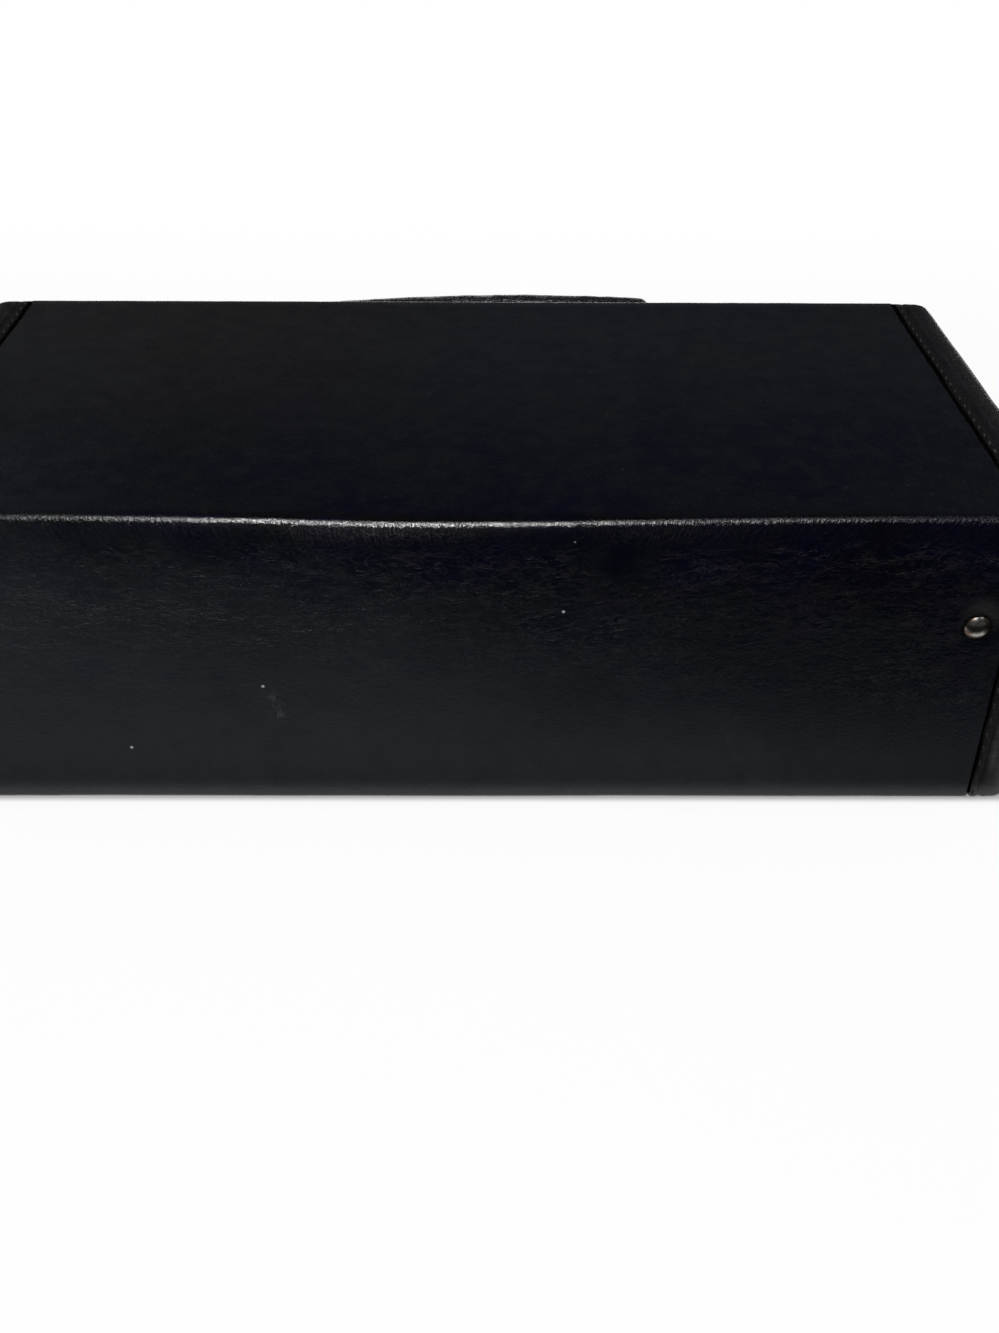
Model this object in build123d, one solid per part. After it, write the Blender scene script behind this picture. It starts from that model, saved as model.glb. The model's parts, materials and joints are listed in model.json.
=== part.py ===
from build123d import *
import os

# A leatherette attache case for boxed cassettes: a deep base, a shallow lid on a soft hinge, a slotted
# rack inside, a padded handle and two hasp latches. It lies flat on its base, as when it is filled.
# Millimetres. +X along the case, +Y towards the handle wall, +Z up.
# The origin is the middle of the underside of the base.

# What one slot of the rack holds, and the room left round it
CASSETTE_LENGTH = 109.0
CASSETTE_THICKNESS = 17.0
CASSETTE_HEIGHT = 70.0
SLOT_END_PLAY = 1.6
SLOT_SIDE_PLAY = 1.2
COLUMNS = 3
SLOTS = 8

# Rack
RAIL_WIDTH = 6.75
END_RAIL_THICKNESS = 2.8
DIVIDER_FOOT = 2.8
DIVIDER_CREST = 1.6
DIVIDER_HEIGHT = 36.0
DIVIDER_CORNER = 5.0
RAIL_ROUNDING = 1.0
RISER_THICKNESS = 8.0
RACK_FLOOR_THICKNESS = 2.0

# Walls, from outside to inside
COVER_THICKNESS = 1.0
BOARD_THICKNESS = 3.0
LINING_THICKNESS = 0.6
EDGE_RADIUS = 2.4

# Lid
LID_HEIGHT = 31.5
HEADROOM = 7.8
RIM_GAP = 0.3
TURN_IN = 10.0
PAD_THICKNESS = 8.0
PAD_MARGIN = 10.0
PAD_CORNER = 12.0
# How deep each level of the pad lies, as a share of its thickness, and how far its outline is drawn in
PAD_PROFILE = ((0.0, 2.5), (0.45, 0.0), (0.8, 2.5), (0.93, 9.0), (1.0, 24.0))

# End covers, folded over the long walls as far as the seam
SEAM_FROM_END = 12.0
SEAM_GROOVE = 0.6

# Soft hinge along the back of the lid
HINGE_STRIP_HALF = 4.0
HINGE_TAPE_THICKNESS = 0.6
HINGE_TAPE_MARGIN = 1.0

# Dome rivets at the ends of the hinge
HINGE_RIVET_FROM_END = 22.4
HINGE_RIVET_BELOW_PARTING = 6.0
HINGE_RIVET_RADIUS = 4.0
HINGE_RIVET_DOME = 1.6
HINGE_RIVET_SHANK = 1.5
WASHER_RADIUS = 3.5
WASHER_THICKNESS = 0.8

# Small rivets of the handle brackets and latches
RIVET_HEAD_RADIUS = 1.9
RIVET_HEAD_HEIGHT = 1.0
RIVET_SHANK_RADIUS = 1.0

# Handle, centred on the lid's front wall
HANDLE_LENGTH = 157.0
GRIP_WIDTH = 15.0
GRIP_THICKNESS = 11.4
GRIP_END_WIDTH = 12.0
GRIP_END_THICKNESS = 9.0
GRIP_END_ROUNDING = 2.5
GRIP_CENTRE_OUT = 33.7
CORE_FROM_GRIP_END = 7.5
CORE_WIDTH = 7.0
CORE_THICKNESS = 2.0
LOOP_WIRE_RADIUS = 1.8
LOOP_WIDTH = 21.0
LOOP_CORNER = 5.0
LOOP_FROM_GRIP_END = 16.5
PIVOT_OUT = 7.5
PIVOT_CLEARANCE = 0.06
BRACKET_LENGTH = 32.0
BRACKET_HEIGHT = 15.0
BRACKET_THICKNESS = 1.5
BRACKET_CORNER = 4.0
KNUCKLE_RADIUS = 3.8
KNUCKLE_LENGTH = 12.0
KNUCKLE_WEB = 5.0
BRACKET_RIVET_FROM_CENTRE = 11.8

# Latches: the case with the slide is on the base, the hasp hangs from the lid
LATCH_FROM_END = 66.0
LATCH_SHEET = 0.8
LATCH_CASE_WIDTH = 36.0
LATCH_CASE_HEIGHT = 28.0
LATCH_CASE_DEPTH = 4.2
LATCH_CASE_ROUNDING = 1.0
LATCH_CASE_BELOW_PARTING = 3.5
LATCH_EAR = 5.0
LATCH_RIVET_FROM_EDGE = 2.5
LATCH_RIVET_RISE = 7.0
LATCH_CLEARANCE = 0.3
SLIDE_TRAVEL = 3.5
SLIDE_THICKNESS = 1.0
SLIDE_WIDTH = 16.0
SLIDE_SIDE_CLEARANCE = 1.2
SLIDE_ARM_BELOW_HOOK = 2.0
BUTTON_WIDTH = 12.0
BUTTON_HEIGHT = 6.0
BUTTON_STANDOUT = 2.7
BUTTON_RISE = 7.6
BUTTON_RIBS = 3
BUTTON_RIB_GROOVE = 0.8
BUTTON_ROUNDING = 0.6
STEM_WIDTH = 6.0
STEM_HEIGHT = 3.0
SPRING_WIRE_RADIUS = 0.2
SPRING_RADIUS = 1.15
SPRING_TURNS = 6
SPRING_END_GAP = 0.05

HASP_WIDTH = 22.0
HASP_THICKNESS = 1.2
HASP_DROP = 25.5
HASP_ROUNDING = 5.0
HASP_PIN_RADIUS = 1.0
HASP_PIN_CLEARANCE = 0.05
HASP_KNUCKLE_RADIUS = 2.6
HASP_KNUCKLE_LENGTH = 12.0
HASP_PIN_ABOVE_PARTING = 6.5
HOOK_THICKNESS = 1.2
HOOK_HEIGHT = 4.0
HOOK_DROP = 17.5
HOOK_LIP = 2.0
HOOK_BEHIND_SLIDE = 0.4
HOOK_WINDOW_MARGIN = 1.2
HASP_PLATE_WIDTH = 28.0
HASP_PLATE_HEIGHT = 17.0
HASP_PLATE_THICKNESS = 0.9
HASP_PLATE_CORNER = 3.0
HASP_RIVET_FROM_CENTRE = 10.5
HASP_RIVET_LOW = 7.5
HASP_RIVET_HIGH = 14.0

CUT = 1.0  # how far a cutting shape runs past the face that it cuts

# Sizes worked out from those above
SLOT_LENGTH = CASSETTE_LENGTH + SLOT_END_PLAY
SLOT_GAP = CASSETTE_THICKNESS + SLOT_SIDE_PLAY
INNER_WIDTH = COLUMNS * SLOT_LENGTH + (COLUMNS + 1) * RAIL_WIDTH
INNER_DEPTH = SLOTS * SLOT_GAP + (SLOTS - 1) * DIVIDER_FOOT + 2 * END_RAIL_THICKNESS
SHELL = COVER_THICKNESS + BOARD_THICKNESS
WALL = SHELL + LINING_THICKNESS
WIDTH = INNER_WIDTH + 2 * WALL
DEPTH = INNER_DEPTH + 2 * WALL
RACK_FLOOR_TOP = WALL + RISER_THICKNESS + RACK_FLOOR_THICKNESS
PAD_FACE = RACK_FLOOR_TOP + CASSETTE_HEIGHT + HEADROOM
CEILING = PAD_FACE + PAD_THICKNESS
HEIGHT = CEILING + WALL

HALF_WIDTH = WIDTH / 2
HALF_DEPTH = DEPTH / 2
FRONT = HALF_DEPTH  # the outer face that carries the handle and latches
BACK = -HALF_DEPTH  # the outer face that carries the soft hinge
PARTING = HEIGHT - LID_HEIGHT
BASE_RIM = PARTING - RIM_GAP / 2
LID_RIM = PARTING + RIM_GAP / 2
SEAM = HALF_WIDTH - SEAM_FROM_END
HINGE_RIVET_X = HALF_WIDTH - HINGE_RIVET_FROM_END
HINGE_RIVET_Z = PARTING - HINGE_RIVET_BELOW_PARTING
HANDLE_Z = PARTING + LID_HEIGHT / 2
LOOP_X = HANDLE_LENGTH / 2 - LOOP_FROM_GRIP_END
CORE_LENGTH = HANDLE_LENGTH - 2 * CORE_FROM_GRIP_END
LATCH_X = HALF_WIDTH - LATCH_FROM_END
HASP_PIN_Z = PARTING + HASP_PIN_ABOVE_PARTING
LATCH_CASE_TOP = PARTING - LATCH_CASE_BELOW_PARTING
LATCH_CASE_LOW = LATCH_CASE_TOP - LATCH_CASE_HEIGHT
LATCH_FACE = LATCH_SHEET + LATCH_CASE_DEPTH
LATCH_ROOM_FRONT = LATCH_FACE - LATCH_SHEET
SLIDE_FRONT = LATCH_ROOM_FRONT - LATCH_CLEARANCE
SLIDE_BACK = SLIDE_FRONT - SLIDE_THICKNESS
HASP_BACK = LATCH_FACE + LATCH_CLEARANCE
HASP_FRONT = HASP_BACK + HASP_THICKNESS
HASP_PIN_OUT = HASP_FRONT - HASP_KNUCKLE_RADIUS
HOOK_MIDDLE_Z = HASP_PIN_Z - HOOK_DROP
HOOK_LOW = HOOK_MIDDLE_Z - HOOK_HEIGHT / 2
HOOK_HIGH = HOOK_MIDDLE_Z + HOOK_HEIGHT / 2


def block(x, y, z):
    """A box between the low and high value of each axis."""
    size = (x[1] - x[0], y[1] - y[0], z[1] - z[0])
    middle = ((x[0] + x[1]) / 2, (y[0] + y[1]) / 2, (z[0] + z[1]) / 2)
    return Pos(*middle) * Box(*size)


def centred_block(half_x, half_y, z):
    return block((-half_x, half_x), (-half_y, half_y), z)


def outward_cylinder(radius, x, z, near, far):
    """A cylinder along Y at x and z, between two distances from the middle plane."""
    length = far - near
    return Pos(x, near + length / 2, z) * Rot(90, 0, 0) * Cylinder(radius, length)


def cross_cylinder(radius, y, z, low, high):
    """A cylinder along X at y and z."""
    length = high - low
    return Pos(low + length / 2, y, z) * Rot(0, 90, 0) * Cylinder(radius, length)


def rounded_block(inset, low, high, closed_at_top):
    """The case's outline moved in by inset, with rounded uprights and a rounded edge at its closed end."""
    body = centred_block(HALF_WIDTH - inset, HALF_DEPTH - inset, (low, high))
    closed_end = body.edges().group_by(Axis.Z)[-1 if closed_at_top else 0]
    return fillet(body.edges().filter_by(Axis.Z) + closed_end, EDGE_RADIUS - inset)


def dome(radius, height):
    """A cap of a sphere, standing on the plane Z = 0."""
    sphere_radius = (radius**2 + height**2) / (2 * height)
    ball = Pos(0, 0, height - sphere_radius) * Sphere(sphere_radius)
    return ball & Pos(0, 0, height) * Box(4 * radius, 4 * radius, 2 * height)


def rivet(x, z, seat, inner_end, head_radius, head_height, shank_radius, outward):
    """A dome rivet on a long wall. seat and inner_end are Y values, outward is 1 or -1."""
    head = Pos(x, seat, z) * Rot(-90 * outward, 0, 0) * dome(head_radius, head_height)
    low, high = sorted((seat, inner_end))
    return head + outward_cylinder(shank_radius, x, z, low, high)


def mirrored(shape):
    return mirror(shape, about=Plane.YZ)


# ---------------------------------------------------------------- shell


def shell_z(is_lid):
    """Outer face, board face, board's inner face, board's rim and rim of one half, from outside in."""
    if is_lid:
        return (HEIGHT, HEIGHT - COVER_THICKNESS, HEIGHT - SHELL, LID_RIM + COVER_THICKNESS, LID_RIM)
    return (0.0, COVER_THICKNESS, SHELL, BASE_RIM - COVER_THICKNESS, BASE_RIM)


def span(a, b):
    return (min(a, b), max(a, b))


def turned_edge(is_lid):
    """The sheet where it turns over the rim and runs down the inside of the walls."""
    rim = shell_z(is_lid)[4]
    into = TURN_IN if is_lid else -TURN_IN
    z = span(rim, rim + into)
    past = (z[0] - CUT, z[1] + CUT)
    outside = centred_block(HALF_WIDTH - SHELL, HALF_DEPTH - SHELL, z)
    inset = SHELL + COVER_THICKNESS
    return outside - centred_block(HALF_WIDTH - inset, HALF_DEPTH - inset, past)


def covering(is_lid):
    """The whole leatherette skin of one half, before it is cut at the seams."""
    face, board_face, _, board_rim, rim = shell_z(is_lid)
    low, high = span(face, rim)
    skin = rounded_block(0, low, high, is_lid)
    low, high = span(board_face, board_rim)
    skin -= rounded_block(COVER_THICKNESS, low, high, is_lid)
    inset = SHELL + COVER_THICKNESS
    low, high = span(board_rim, rim)
    skin -= centred_block(HALF_WIDTH - inset, HALF_DEPTH - inset, (low - CUT, high + CUT))
    return skin + turned_edge(is_lid)


def main_cover(is_lid):
    """The sheet over the large face and both long walls, between the two seams."""
    between = SEAM - SEAM_GROOVE
    sheet = covering(is_lid) & centred_block(between, HALF_DEPTH + CUT, (-CUT, HEIGHT + CUT))
    hinge_zone = (PARTING - HINGE_STRIP_HALF, PARTING + HINGE_STRIP_HALF)
    hinge_side = (BACK - CUT, BACK + SHELL + COVER_THICKNESS)
    sheet -= block((-HALF_WIDTH, HALF_WIDTH), hinge_side, hinge_zone)
    turned_zone = (PARTING - TURN_IN - CUT, PARTING + TURN_IN + CUT)
    inner_side = (BACK + SHELL, BACK + SHELL + COVER_THICKNESS)
    return sheet - block((-HALF_WIDTH, HALF_WIDTH), inner_side, turned_zone)


def end_cover(is_lid):
    """The sheet over the right-hand end, folded over the neighbouring faces as far as the seam."""
    return covering(is_lid) & block(
        (SEAM, HALF_WIDTH + CUT), (BACK - CUT, FRONT + CUT), (-CUT, HEIGHT + CUT)
    )


def boards(is_lid):
    """Five boards: the large face, the two long walls between full-width ends, and the end walls."""
    _, board_face, inner, board_rim, _ = shell_z(is_lid)
    low, high = span(board_face, board_rim)
    core = rounded_block(COVER_THICKNESS, low, high, is_lid)
    face_z = span(board_face, inner)
    wall_z = span(inner, board_rim)
    y_low = (BACK, BACK + SHELL)
    y_high = (FRONT - SHELL, FRONT)
    x_all = (-HALF_WIDTH, HALF_WIDTH)
    x_end = (HALF_WIDTH - SHELL, HALF_WIDTH)
    y_between = (BACK + SHELL, FRONT - SHELL)
    end = core & block(x_end, y_between, wall_z)
    return {
        "face": core & centred_block(HALF_WIDTH, HALF_DEPTH, face_z),
        "hinge_wall": core & block(x_all, y_low, wall_z),
        "handle_wall": core & block(x_all, y_high, wall_z),
        "end_right": end,
        "end_left": mirrored(end),
    }


def lining(is_lid):
    """The thin sheet inside one half, from the large face to the turned edge."""
    _, _, inner, _, rim = shell_z(is_lid)
    edge = rim + (TURN_IN if is_lid else -TURN_IN)
    step = -LINING_THICKNESS if is_lid else LINING_THICKNESS
    past = CUT if edge > inner else -CUT
    outside = centred_block(HALF_WIDTH - SHELL, HALF_DEPTH - SHELL, span(inner, edge))
    room = centred_block(INNER_WIDTH / 2, INNER_DEPTH / 2, span(inner + step, edge + past))
    return outside - room


def lid_pad():
    """A crowned pad under the lid's large face, with its sides drawn in to where it is glued."""
    half_x = INNER_WIDTH / 2 - PAD_MARGIN
    half_y = INNER_DEPTH / 2 - PAD_MARGIN
    outlines = [
        Pos(0, 0, CEILING - depth * PAD_THICKNESS)
        * RectangleRounded(2 * (half_x - inset), 2 * (half_y - inset), PAD_CORNER)
        for depth, inset in PAD_PROFILE
    ]
    return loft(outlines, ruled=True)


# ---------------------------------------------------------------- soft hinge


def hinge_strip():
    """The outer sheet where it bends, between the sheets of the base and the lid."""
    length = SEAM - SEAM_GROOVE
    z = (PARTING - HINGE_STRIP_HALF, PARTING + HINGE_STRIP_HALF)
    return block((-length, length), (BACK, BACK + COVER_THICKNESS), z)


def hinge_tape():
    """The cloth tape glued across the joint inside."""
    length = SEAM - SEAM_GROOVE - HINGE_TAPE_MARGIN
    near = BACK + SHELL
    z = (BASE_RIM - TURN_IN, LID_RIM + TURN_IN)
    return block((-length, length), (near, near + HINGE_TAPE_THICKNESS), z)


def hinge_rivets():
    tail = BACK + SHELL + HINGE_TAPE_THICKNESS + WASHER_THICKNESS
    one = rivet(
        HINGE_RIVET_X,
        HINGE_RIVET_Z,
        BACK,
        tail,
        HINGE_RIVET_RADIUS,
        HINGE_RIVET_DOME,
        HINGE_RIVET_SHANK,
        -1,
    )
    return [one, mirrored(one)]


def hinge_washers(rivets):
    near = BACK + SHELL + HINGE_TAPE_THICKNESS
    one = outward_cylinder(WASHER_RADIUS, HINGE_RIVET_X, HINGE_RIVET_Z, near, near + WASHER_THICKNESS)
    return [one - rivets[0], mirrored(one) - rivets[1]]


# ---------------------------------------------------------------- rack


def rail_along_y(x):
    z = (RACK_FLOOR_TOP, RACK_FLOOR_TOP + DIVIDER_HEIGHT)
    half = INNER_DEPTH / 2 - END_RAIL_THICKNESS
    bar = block((x, x + RAIL_WIDTH), (-half, half), z)
    return fillet(bar.edges().group_by(Axis.Z)[-1].filter_by(Axis.Y), RAIL_ROUNDING)


def end_rail():
    z = (RACK_FLOOR_TOP, RACK_FLOOR_TOP + DIVIDER_HEIGHT)
    y = (INNER_DEPTH / 2 - END_RAIL_THICKNESS, INNER_DEPTH / 2)
    bar = block((-INNER_WIDTH / 2, INNER_WIDTH / 2), y, z)
    return fillet(bar.edges().group_by(Axis.Z)[-1].filter_by(Axis.X), RAIL_ROUNDING)


def column_low_x(column):
    """The low X of a column of slots."""
    return -INNER_WIDTH / 2 + RAIL_WIDTH + column * (SLOT_LENGTH + RAIL_WIDTH)


def divider():
    """One divider, centred on the Y axis, with a tapered section and cut corners."""
    foot = DIVIDER_FOOT / 2
    crest = DIVIDER_CREST / 2
    section = Polygon(
        (-foot, 0), (foot, 0), (crest, DIVIDER_HEIGHT), (-crest, DIVIDER_HEIGHT), align=None
    )
    stood = Plane.YZ * section
    body = extrude(stood, SLOT_LENGTH)
    corners = body.edges().group_by(Axis.Z)[-1].filter_by(Axis.Y)
    return Pos(0, 0, RACK_FLOOR_TOP) * chamfer(corners, DIVIDER_CORNER)


def dividers(column):
    pitch = SLOT_GAP + DIVIDER_FOOT
    first = -(SLOTS - 2) / 2 * pitch
    return [Pos(column_low_x(column), first + i * pitch, 0) * divider() for i in range(SLOTS - 1)]


def rack():
    half_x = INNER_WIDTH / 2
    half_y = INNER_DEPTH / 2
    floor_low = WALL + RISER_THICKNESS
    pieces = {
        "rack_riser": centred_block(half_x, half_y, (WALL, floor_low)),
        "rack_floor": centred_block(half_x, half_y, (floor_low, RACK_FLOOR_TOP)),
        "rack_rail_handle_side": end_rail(),
        "rack_rail_hinge_side": mirror(end_rail(), about=Plane.XZ),
    }
    for number, name in enumerate(rail_names()):
        pieces[name] = rail_along_y(column_low_x(number) - RAIL_WIDTH)
    for column, name in enumerate(divider_names()):
        pieces[name] = dividers(column)
    return pieces


def rail_names():
    middle = [f"rack_centre_rail_{i + 1}" for i in range(COLUMNS - 1)]
    return ["rack_side_rail_left", *middle, "rack_side_rail_right"]


def divider_names():
    return [f"rack_dividers_{i + 1}" for i in range(COLUMNS)]


# ---------------------------------------------------------------- handle


def loop():
    """The right-hand wire loop: a cross bar through the bracket and two legs into the grip."""
    half = LOOP_WIDTH / 2
    pivot_y = FRONT + PIVOT_OUT
    leg_end = FRONT + GRIP_CENTRE_OUT - CORE_WIDTH / 2
    x = LOOP_X
    path = FilletPolyline(
        (x - half, leg_end, HANDLE_Z),
        (x - half, pivot_y, HANDLE_Z),
        (x + half, pivot_y, HANDLE_Z),
        (x + half, leg_end, HANDLE_Z),
        radius=LOOP_CORNER,
    )
    start = Plane(origin=path @ 0, z_dir=path % 0)
    return sweep(start * Circle(LOOP_WIRE_RADIUS), path=path)


def grip_section(x, width, thickness):
    centre = (x, FRONT + GRIP_CENTRE_OUT, HANDLE_Z)
    return Plane(origin=centre, x_dir=(0, 1, 0), z_dir=(1, 0, 0)) * Ellipse(width / 2, thickness / 2)


def grip_outside():
    """The padded bar, fullest in the middle, with rounded ends."""
    half = HANDLE_LENGTH / 2
    shoulder = half - GRIP_END_ROUNDING
    end_width = GRIP_END_WIDTH - GRIP_END_ROUNDING
    end_thickness = GRIP_END_THICKNESS - GRIP_END_ROUNDING
    bar = loft(
        [
            grip_section(-shoulder, GRIP_END_WIDTH, GRIP_END_THICKNESS),
            grip_section(0, GRIP_WIDTH, GRIP_THICKNESS),
            grip_section(shoulder, GRIP_END_WIDTH, GRIP_END_THICKNESS),
        ]
    )
    tip = loft(
        [
            grip_section(shoulder, GRIP_END_WIDTH, GRIP_END_THICKNESS),
            grip_section(half, end_width, end_thickness),
        ],
        ruled=True,
    )
    return bar + tip + mirrored(tip)


def core():
    y = FRONT + GRIP_CENTRE_OUT
    half = CORE_THICKNESS / 2
    return block(
        (-CORE_LENGTH / 2, CORE_LENGTH / 2),
        (y - CORE_WIDTH / 2, y + CORE_WIDTH / 2),
        (HANDLE_Z - half, HANDLE_Z + half),
    )


def handle():
    right = loop()
    left = mirrored(right)
    strip = core()
    return {
        "handle_grip": grip_outside() - strip - right - left,
        "handle_core": strip - right - left,
        "handle_loop_right": right,
        "handle_loop_left": left,
    }


def bracket():
    """The right-hand plate on the lid's front wall, with the knuckle that the loop turns in."""
    x = LOOP_X
    low_z = HANDLE_Z - BRACKET_HEIGHT / 2
    plate = block(
        (x - BRACKET_LENGTH / 2, x + BRACKET_LENGTH / 2),
        (FRONT, FRONT + BRACKET_THICKNESS),
        (low_z, low_z + BRACKET_HEIGHT),
    )
    plate = fillet(plate.edges().filter_by(Axis.Y), BRACKET_CORNER)
    half = KNUCKLE_LENGTH / 2
    pivot_y = FRONT + PIVOT_OUT
    knuckle = cross_cylinder(KNUCKLE_RADIUS, pivot_y, HANDLE_Z, x - half, x + half)
    web = block(
        (x - half, x + half), (FRONT, pivot_y), (HANDLE_Z - KNUCKLE_WEB / 2, HANDLE_Z + KNUCKLE_WEB / 2)
    )
    bore_radius = LOOP_WIRE_RADIUS + PIVOT_CLEARANCE
    bore = cross_cylinder(bore_radius, pivot_y, HANDLE_Z, x - half - CUT, x + half + CUT)
    return plate + knuckle + web - bore


def small_rivet(x, z, sheet_thickness):
    """A rivet that holds a plate of this thickness on the handle wall, closed behind the board."""
    return rivet(
        x,
        z,
        FRONT + sheet_thickness,
        FRONT - SHELL,
        RIVET_HEAD_RADIUS,
        RIVET_HEAD_HEIGHT,
        RIVET_SHANK_RADIUS,
        1,
    )


def both_sides(right_hand):
    return right_hand + [mirrored(one) for one in right_hand]


def bracket_rivets():
    steps = (-BRACKET_RIVET_FROM_CENTRE, BRACKET_RIVET_FROM_CENTRE)
    return both_sides([small_rivet(LOOP_X + s, HANDLE_Z, BRACKET_THICKNESS) for s in steps])


# ---------------------------------------------------------------- latch, all for the right-hand side


def latch_x(low, high):
    """An X span given from the latch's own middle."""
    return (LATCH_X + low, LATCH_X + high)


def latch_y(low, high):
    """A Y span given as distances out from the handle wall."""
    return (FRONT + low, FRONT + high)


def latch_back_plate():
    half = LATCH_CASE_WIDTH / 2 + LATCH_EAR
    plate = block(latch_x(-half, half), latch_y(0, LATCH_SHEET), (LATCH_CASE_LOW, LATCH_CASE_TOP))
    return fillet(plate.edges().filter_by(Axis.Y), LATCH_EAR / 2)


def hook_window():
    half = HOOK_THICKNESS / 2
    z = (HOOK_LOW - HOOK_WINDOW_MARGIN, HOOK_HIGH + HOOK_WINDOW_MARGIN)
    x = latch_x(-half - HOOK_WINDOW_MARGIN, half + HOOK_LIP + HOOK_WINDOW_MARGIN)
    return block(x, latch_y(SLIDE_FRONT, LATCH_FACE + CUT), z)


def stem_slot():
    half = STEM_WIDTH / 2
    x = latch_x(-half - LATCH_CLEARANCE, half + SLIDE_TRAVEL + LATCH_CLEARANCE)
    middle = LATCH_CASE_LOW + BUTTON_RISE
    rise = STEM_HEIGHT / 2 + LATCH_CLEARANCE
    return block(x, latch_y(SLIDE_FRONT, LATCH_FACE + CUT), (middle - rise, middle + rise))


def latch_case():
    """A pressed cup over the slide, open at the back, with a window for the hook and a slot for the stem."""
    half = LATCH_CASE_WIDTH / 2
    outside = block(latch_x(-half, half), latch_y(LATCH_SHEET, LATCH_FACE), (LATCH_CASE_LOW, LATCH_CASE_TOP))
    front_edges = outside.edges().group_by(Axis.Y)[-1]
    outside = fillet(outside.edges().filter_by(Axis.Y) + front_edges, LATCH_CASE_ROUNDING)
    room = block(
        latch_x(-half + LATCH_SHEET, half - LATCH_SHEET),
        latch_y(LATCH_SHEET - CUT, LATCH_ROOM_FRONT),
        (LATCH_CASE_LOW + LATCH_SHEET, LATCH_CASE_TOP - LATCH_SHEET),
    )
    return outside - room - hook_window() - stem_slot()


def button_cap():
    """The ribbed thumb piece."""
    middle = LATCH_CASE_LOW + BUTTON_RISE
    half = BUTTON_WIDTH / 2
    face = HASP_BACK + BUTTON_STANDOUT
    z = (middle - BUTTON_HEIGHT / 2, middle + BUTTON_HEIGHT / 2)
    cap = block(latch_x(-half, half), latch_y(HASP_BACK, face), z)
    cap = fillet(cap.edges().group_by(Axis.Y)[-1], BUTTON_ROUNDING)
    pitch = BUTTON_WIDTH / (BUTTON_RIBS + 1)
    for number in range(BUTTON_RIBS):
        x = -half + (number + 1) * pitch
        groove = BUTTON_RIB_GROOVE / 2
        cap -= block(
            latch_x(x - groove, x + groove),
            latch_y(face - BUTTON_RIB_GROOVE, face + CUT),
            (z[0] - CUT, z[1] + CUT),
        )
    return cap


def latch_slide():
    """The sliding plate with the arm that holds the hook, the stem and the thumb piece."""
    half = SLIDE_WIDTH / 2
    low = LATCH_CASE_LOW + LATCH_SHEET + SLIDE_SIDE_CLEARANCE
    high = LATCH_CASE_TOP - LATCH_SHEET - SLIDE_SIDE_CLEARANCE
    shoulder = HOOK_LOW - SLIDE_ARM_BELOW_HOOK
    y = latch_y(SLIDE_BACK, SLIDE_FRONT)
    plate = block(latch_x(-half, half), y, (low, shoulder))
    arm_low = HOOK_THICKNESS / 2 + LATCH_CLEARANCE
    plate += block(latch_x(arm_low, half), y, (low, high))
    middle = LATCH_CASE_LOW + BUTTON_RISE
    stem = block(
        latch_x(-STEM_WIDTH / 2, STEM_WIDTH / 2),
        latch_y(SLIDE_BACK, HASP_BACK + CUT),
        (middle - STEM_HEIGHT / 2, middle + STEM_HEIGHT / 2),
    )
    return plate + stem + button_cap()


def latch_spring():
    """The compression spring between the slide and the end of the case."""
    low = LATCH_X + SLIDE_WIDTH / 2 + SPRING_END_GAP + SPRING_WIRE_RADIUS
    high = LATCH_X + LATCH_CASE_WIDTH / 2 - LATCH_SHEET - SPRING_END_GAP - SPRING_WIRE_RADIUS
    length = high - low
    path = Helix(pitch=length / SPRING_TURNS, height=length, radius=SPRING_RADIUS)
    start = Plane(origin=path @ 0, z_dir=path % 0)
    coil = sweep(start * Circle(SPRING_WIRE_RADIUS), path=path, is_frenet=True)
    y = FRONT + (LATCH_SHEET + LATCH_ROOM_FRONT) / 2
    z = LATCH_CASE_LOW + BUTTON_RISE
    return Pos(low, y, z) * Rot(0, 90, 0) * coil


def latch_rivets():
    x_out = LATCH_CASE_WIDTH / 2 + LATCH_RIVET_FROM_EDGE
    places = [
        (LATCH_X + side * x_out, z)
        for side in (-1, 1)
        for z in (LATCH_CASE_LOW + LATCH_RIVET_RISE, LATCH_CASE_TOP - LATCH_RIVET_RISE)
    ]
    return both_sides([small_rivet(x, z, LATCH_SHEET) for x, z in places])


def hasp():
    """The flap, its middle knuckle and the hook that enters the case."""
    pin_y = FRONT + HASP_PIN_OUT
    half = HASP_WIDTH / 2
    half_knuckle = HASP_KNUCKLE_LENGTH / 2
    y = latch_y(HASP_BACK, HASP_FRONT)
    shoulder = HASP_PIN_Z - HASP_KNUCKLE_RADIUS - LATCH_CLEARANCE
    flap = block(latch_x(-half, half), y, (HASP_PIN_Z - HASP_DROP, shoulder))
    low_corners = flap.edges().filter_by(Axis.Y).group_by(Axis.Z)[0]
    flap = fillet(low_corners, HASP_ROUNDING)
    flap += block(latch_x(-half_knuckle, half_knuckle), y, (shoulder - CUT, HASP_PIN_Z))
    flap += cross_cylinder(HASP_KNUCKLE_RADIUS, pin_y, HASP_PIN_Z, *latch_x(-half_knuckle, half_knuckle))
    lip_front = SLIDE_BACK - HOOK_BEHIND_SLIDE
    lip_back = lip_front - HOOK_THICKNESS
    half_hook = HOOK_THICKNESS / 2
    z = (HOOK_LOW, HOOK_HIGH)
    flap += block(latch_x(-half_hook, half_hook), latch_y(lip_back, HASP_FRONT), z)
    flap += block(latch_x(-half_hook, half_hook + HOOK_LIP), latch_y(lip_back, lip_front), z)
    bore = HASP_PIN_RADIUS + HASP_PIN_CLEARANCE
    ends = latch_x(-half_knuckle - CUT, half_knuckle + CUT)
    return flap - cross_cylinder(bore, pin_y, HASP_PIN_Z, *ends)


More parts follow.
